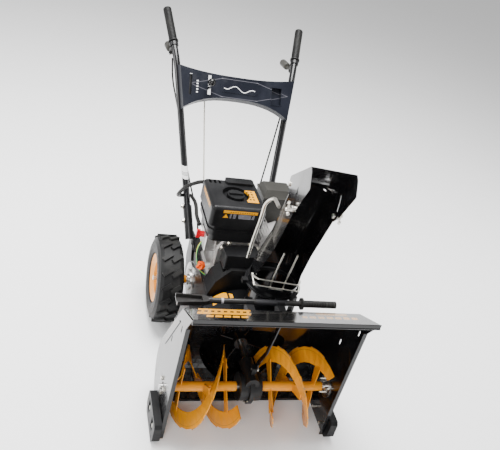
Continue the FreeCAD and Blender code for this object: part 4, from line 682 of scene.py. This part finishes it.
def to_object(name, bm, finish, body):
    """Turns a bmesh into a finished piece that rides on a body."""
    bmesh.ops.recalc_face_normals(bm, faces=bm.faces[:])
    mesh = bpy.data.meshes.new(name)
    bm.to_mesh(mesh)
    bm.free()
    mesh.materials.append(finish)
    piece = bpy.data.objects.new(name, mesh)
    bpy.context.collection.objects.link(piece)
    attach(piece, body)
    print(name, len(mesh.polygons), "faces on", body)


def hex_bolt(bm, place, way, across):
    """A head and washer standing on a face at a place."""
    turn = Matrix.Translation(place) @ Vector(way).to_track_quat("Z", "Y").to_matrix().to_4x4()

    def disc(segments, radius, height, base):
        raised = Matrix.Translation((0, 0, base + height / 2))
        return bmesh.ops.create_cone(bm, cap_ends=True, segments=segments, radius1=radius, radius2=radius,
                                     depth=height, matrix=turn @ raised)["verts"]

    disc(24, across * WASHER_RADIUS, across * WASHER_HEIGHT, 0)
    head = disc(6, across * HEAD_RADIUS, across * HEAD_HEIGHT, across * WASHER_HEIGHT)
    bmesh.ops.bevel(bm, geom=list({e for v in head for e in v.link_edges}), offset=across * HEAD_BEVEL,
                    affect="EDGES", segments=2, profile=0.5, material=-1)


print("a head is", HEAD_HEIGHT, "and its washer", WASHER_HEIGHT, "as high as the head is wide")

# %% Bolts on the engine cover
COVER_Y = 364
COVER_BOLTS_XZ = ((-82, 432), (-60, 451), (16, 451), (46, 436), (-84, 330), (46, 330))
bolts = bmesh.new()
for x, z in COVER_BOLTS_XZ:
    hex_bolt(bolts, at(x, COVER_Y, z), (0, -1, 0), 0.011)
to_object("engine_cover_bolts", bolts, zinc, "chassis")

# %% Bolts on the handle brackets
BAR_START = at(146, 606, 340)
BAR_WAY = Vector((88, 370, 515)).normalized()
BRACKET_FACE = 0.0165         # from the bar's middle line to the bracket's outer face
bolts = bmesh.new()
for side in (-1, 1):
    for up_bar in (0.030, 0.085):
        middle = BAR_START + BAR_WAY * up_bar
        place = Vector((side * (middle.x + BRACKET_FACE), middle.y, middle.z))
        hex_bolt(bolts, place, (side, 0, 0), 0.013)
to_object("handle_bolts", bolts, zinc, "chassis")

# %% [markdown]
# ## Switch wires
# Two thin coloured wires run from the stop switch down the engine's left side, held at both ends. A swept
# circle could be built face by face, but a curve with a round section gives the same wire from six points.

# %% Switch wires
WIRE_THICKNESS = 0.0024
WIRE_ROUTE = ((0.002, 0, 0), (-0.006, 0, -0.012), (-0.010, -0.008, -0.045), (-0.004, -0.022, -0.075),
              (0.006, -0.036, -0.100), (0.030, -0.040, -0.112))      # from the switch box's lower corner


def wire(name, points, finish, body):
    curve = bpy.data.curves.new(name, "CURVE")
    curve.dimensions = "3D"
    curve.bevel_depth = WIRE_THICKNESS / 2
    curve.bevel_resolution = 3
    spline = curve.splines.new("NURBS")
    spline.points.add(len(points) - 1)
    for point, place in zip(spline.points, points):
        point.co = (*place, 1)
    spline.order_u = 3
    spline.use_endpoint_u = True
    curve.materials.append(finish)
    piece = bpy.data.objects.new(name, curve)
    bpy.context.collection.objects.link(piece)
    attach(piece, body)
    print(name, "of", len(points), "points")


switch_low, switch_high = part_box("switch_box")
start = Vector((switch_low.x - 0.002, (switch_low.y + switch_high.y) / 2, switch_low.z + 0.006))
for name, colour, apart in (("green", (0.05, 0.42, 0.12), 0.0), ("yellow", (0.72, 0.62, 0.06), 0.005)):
    coat = moulded(name + "_wire", colour, 0.35, grain=0.0, dust=0.02, specular=0.5)
    route = [start + Vector(step) + Vector((0, apart, 0)) for step in WIRE_ROUTE]
    wire(name + "_switch_wire", route, coat, "chassis")

# %% [markdown]
# ## A dark sheet of painted shade behind the panel's window
# Behind the window at the panel's left end, a dark sheet stands in for the shade inside the panel. It is one
# thin sheet bowed away from the panel: a grid is bent across its width and then given a thickness, which is
# simpler than bending a solid.

# %% Painted shade behind the window
PANEL_FACE = 0.0425           # from the bars' middle line to the panel's front
SHADE_SHEET_BEHIND, SHADE_SHEET_DOWN, SHADE_SHEET_X = 0.0075, 0.006, -0.185
SHADE_SHEET_WIDTH, SHADE_SHEET_LENGTH, SHADE_SHEET_THICKNESS = 0.018, 0.086, 0.0015
SHADE_SHEET_BOW = 45.0              # how fast the sheet falls away from its middle line

panel_normal = Vector((0, -BAR_SLOPE.z, BAR_SLOPE.y))
shade_sheet = bmesh.new()
bmesh.ops.create_grid(shade_sheet, x_segments=4, y_segments=10, size=0.5)
bmesh.ops.scale(shade_sheet, vec=(SHADE_SHEET_WIDTH, SHADE_SHEET_LENGTH, 1), verts=shade_sheet.verts[:])
for v in shade_sheet.verts:
    v.co.z = -SHADE_SHEET_BOW * v.co.x ** 2
bmesh.ops.solidify(shade_sheet, geom=shade_sheet.faces[:], thickness=SHADE_SHEET_THICKNESS)
axes = Matrix((Vector((1, 0, 0)), BAR_SLOPE, panel_normal)).transposed().to_4x4()
middle = BAR_FOOT + BAR_SLOPE * (PANEL_MIDDLE - SHADE_SHEET_DOWN) + panel_normal * (PANEL_FACE - SHADE_SHEET_BEHIND)
middle.x = SHADE_SHEET_X
bmesh.ops.transform(shade_sheet, matrix=Matrix.Translation(middle) @ axes, verts=shade_sheet.verts[:])
# a dark sheet that stands in for the shade behind the panel's window
to_object("panel_window_shade_sheet", shade_sheet, black_plastic, "chassis")

# %% [markdown]
# ## Close
# The looks must not change the machine's size. The last cell only prints that the notebook is done.

# %% Close
print("done")
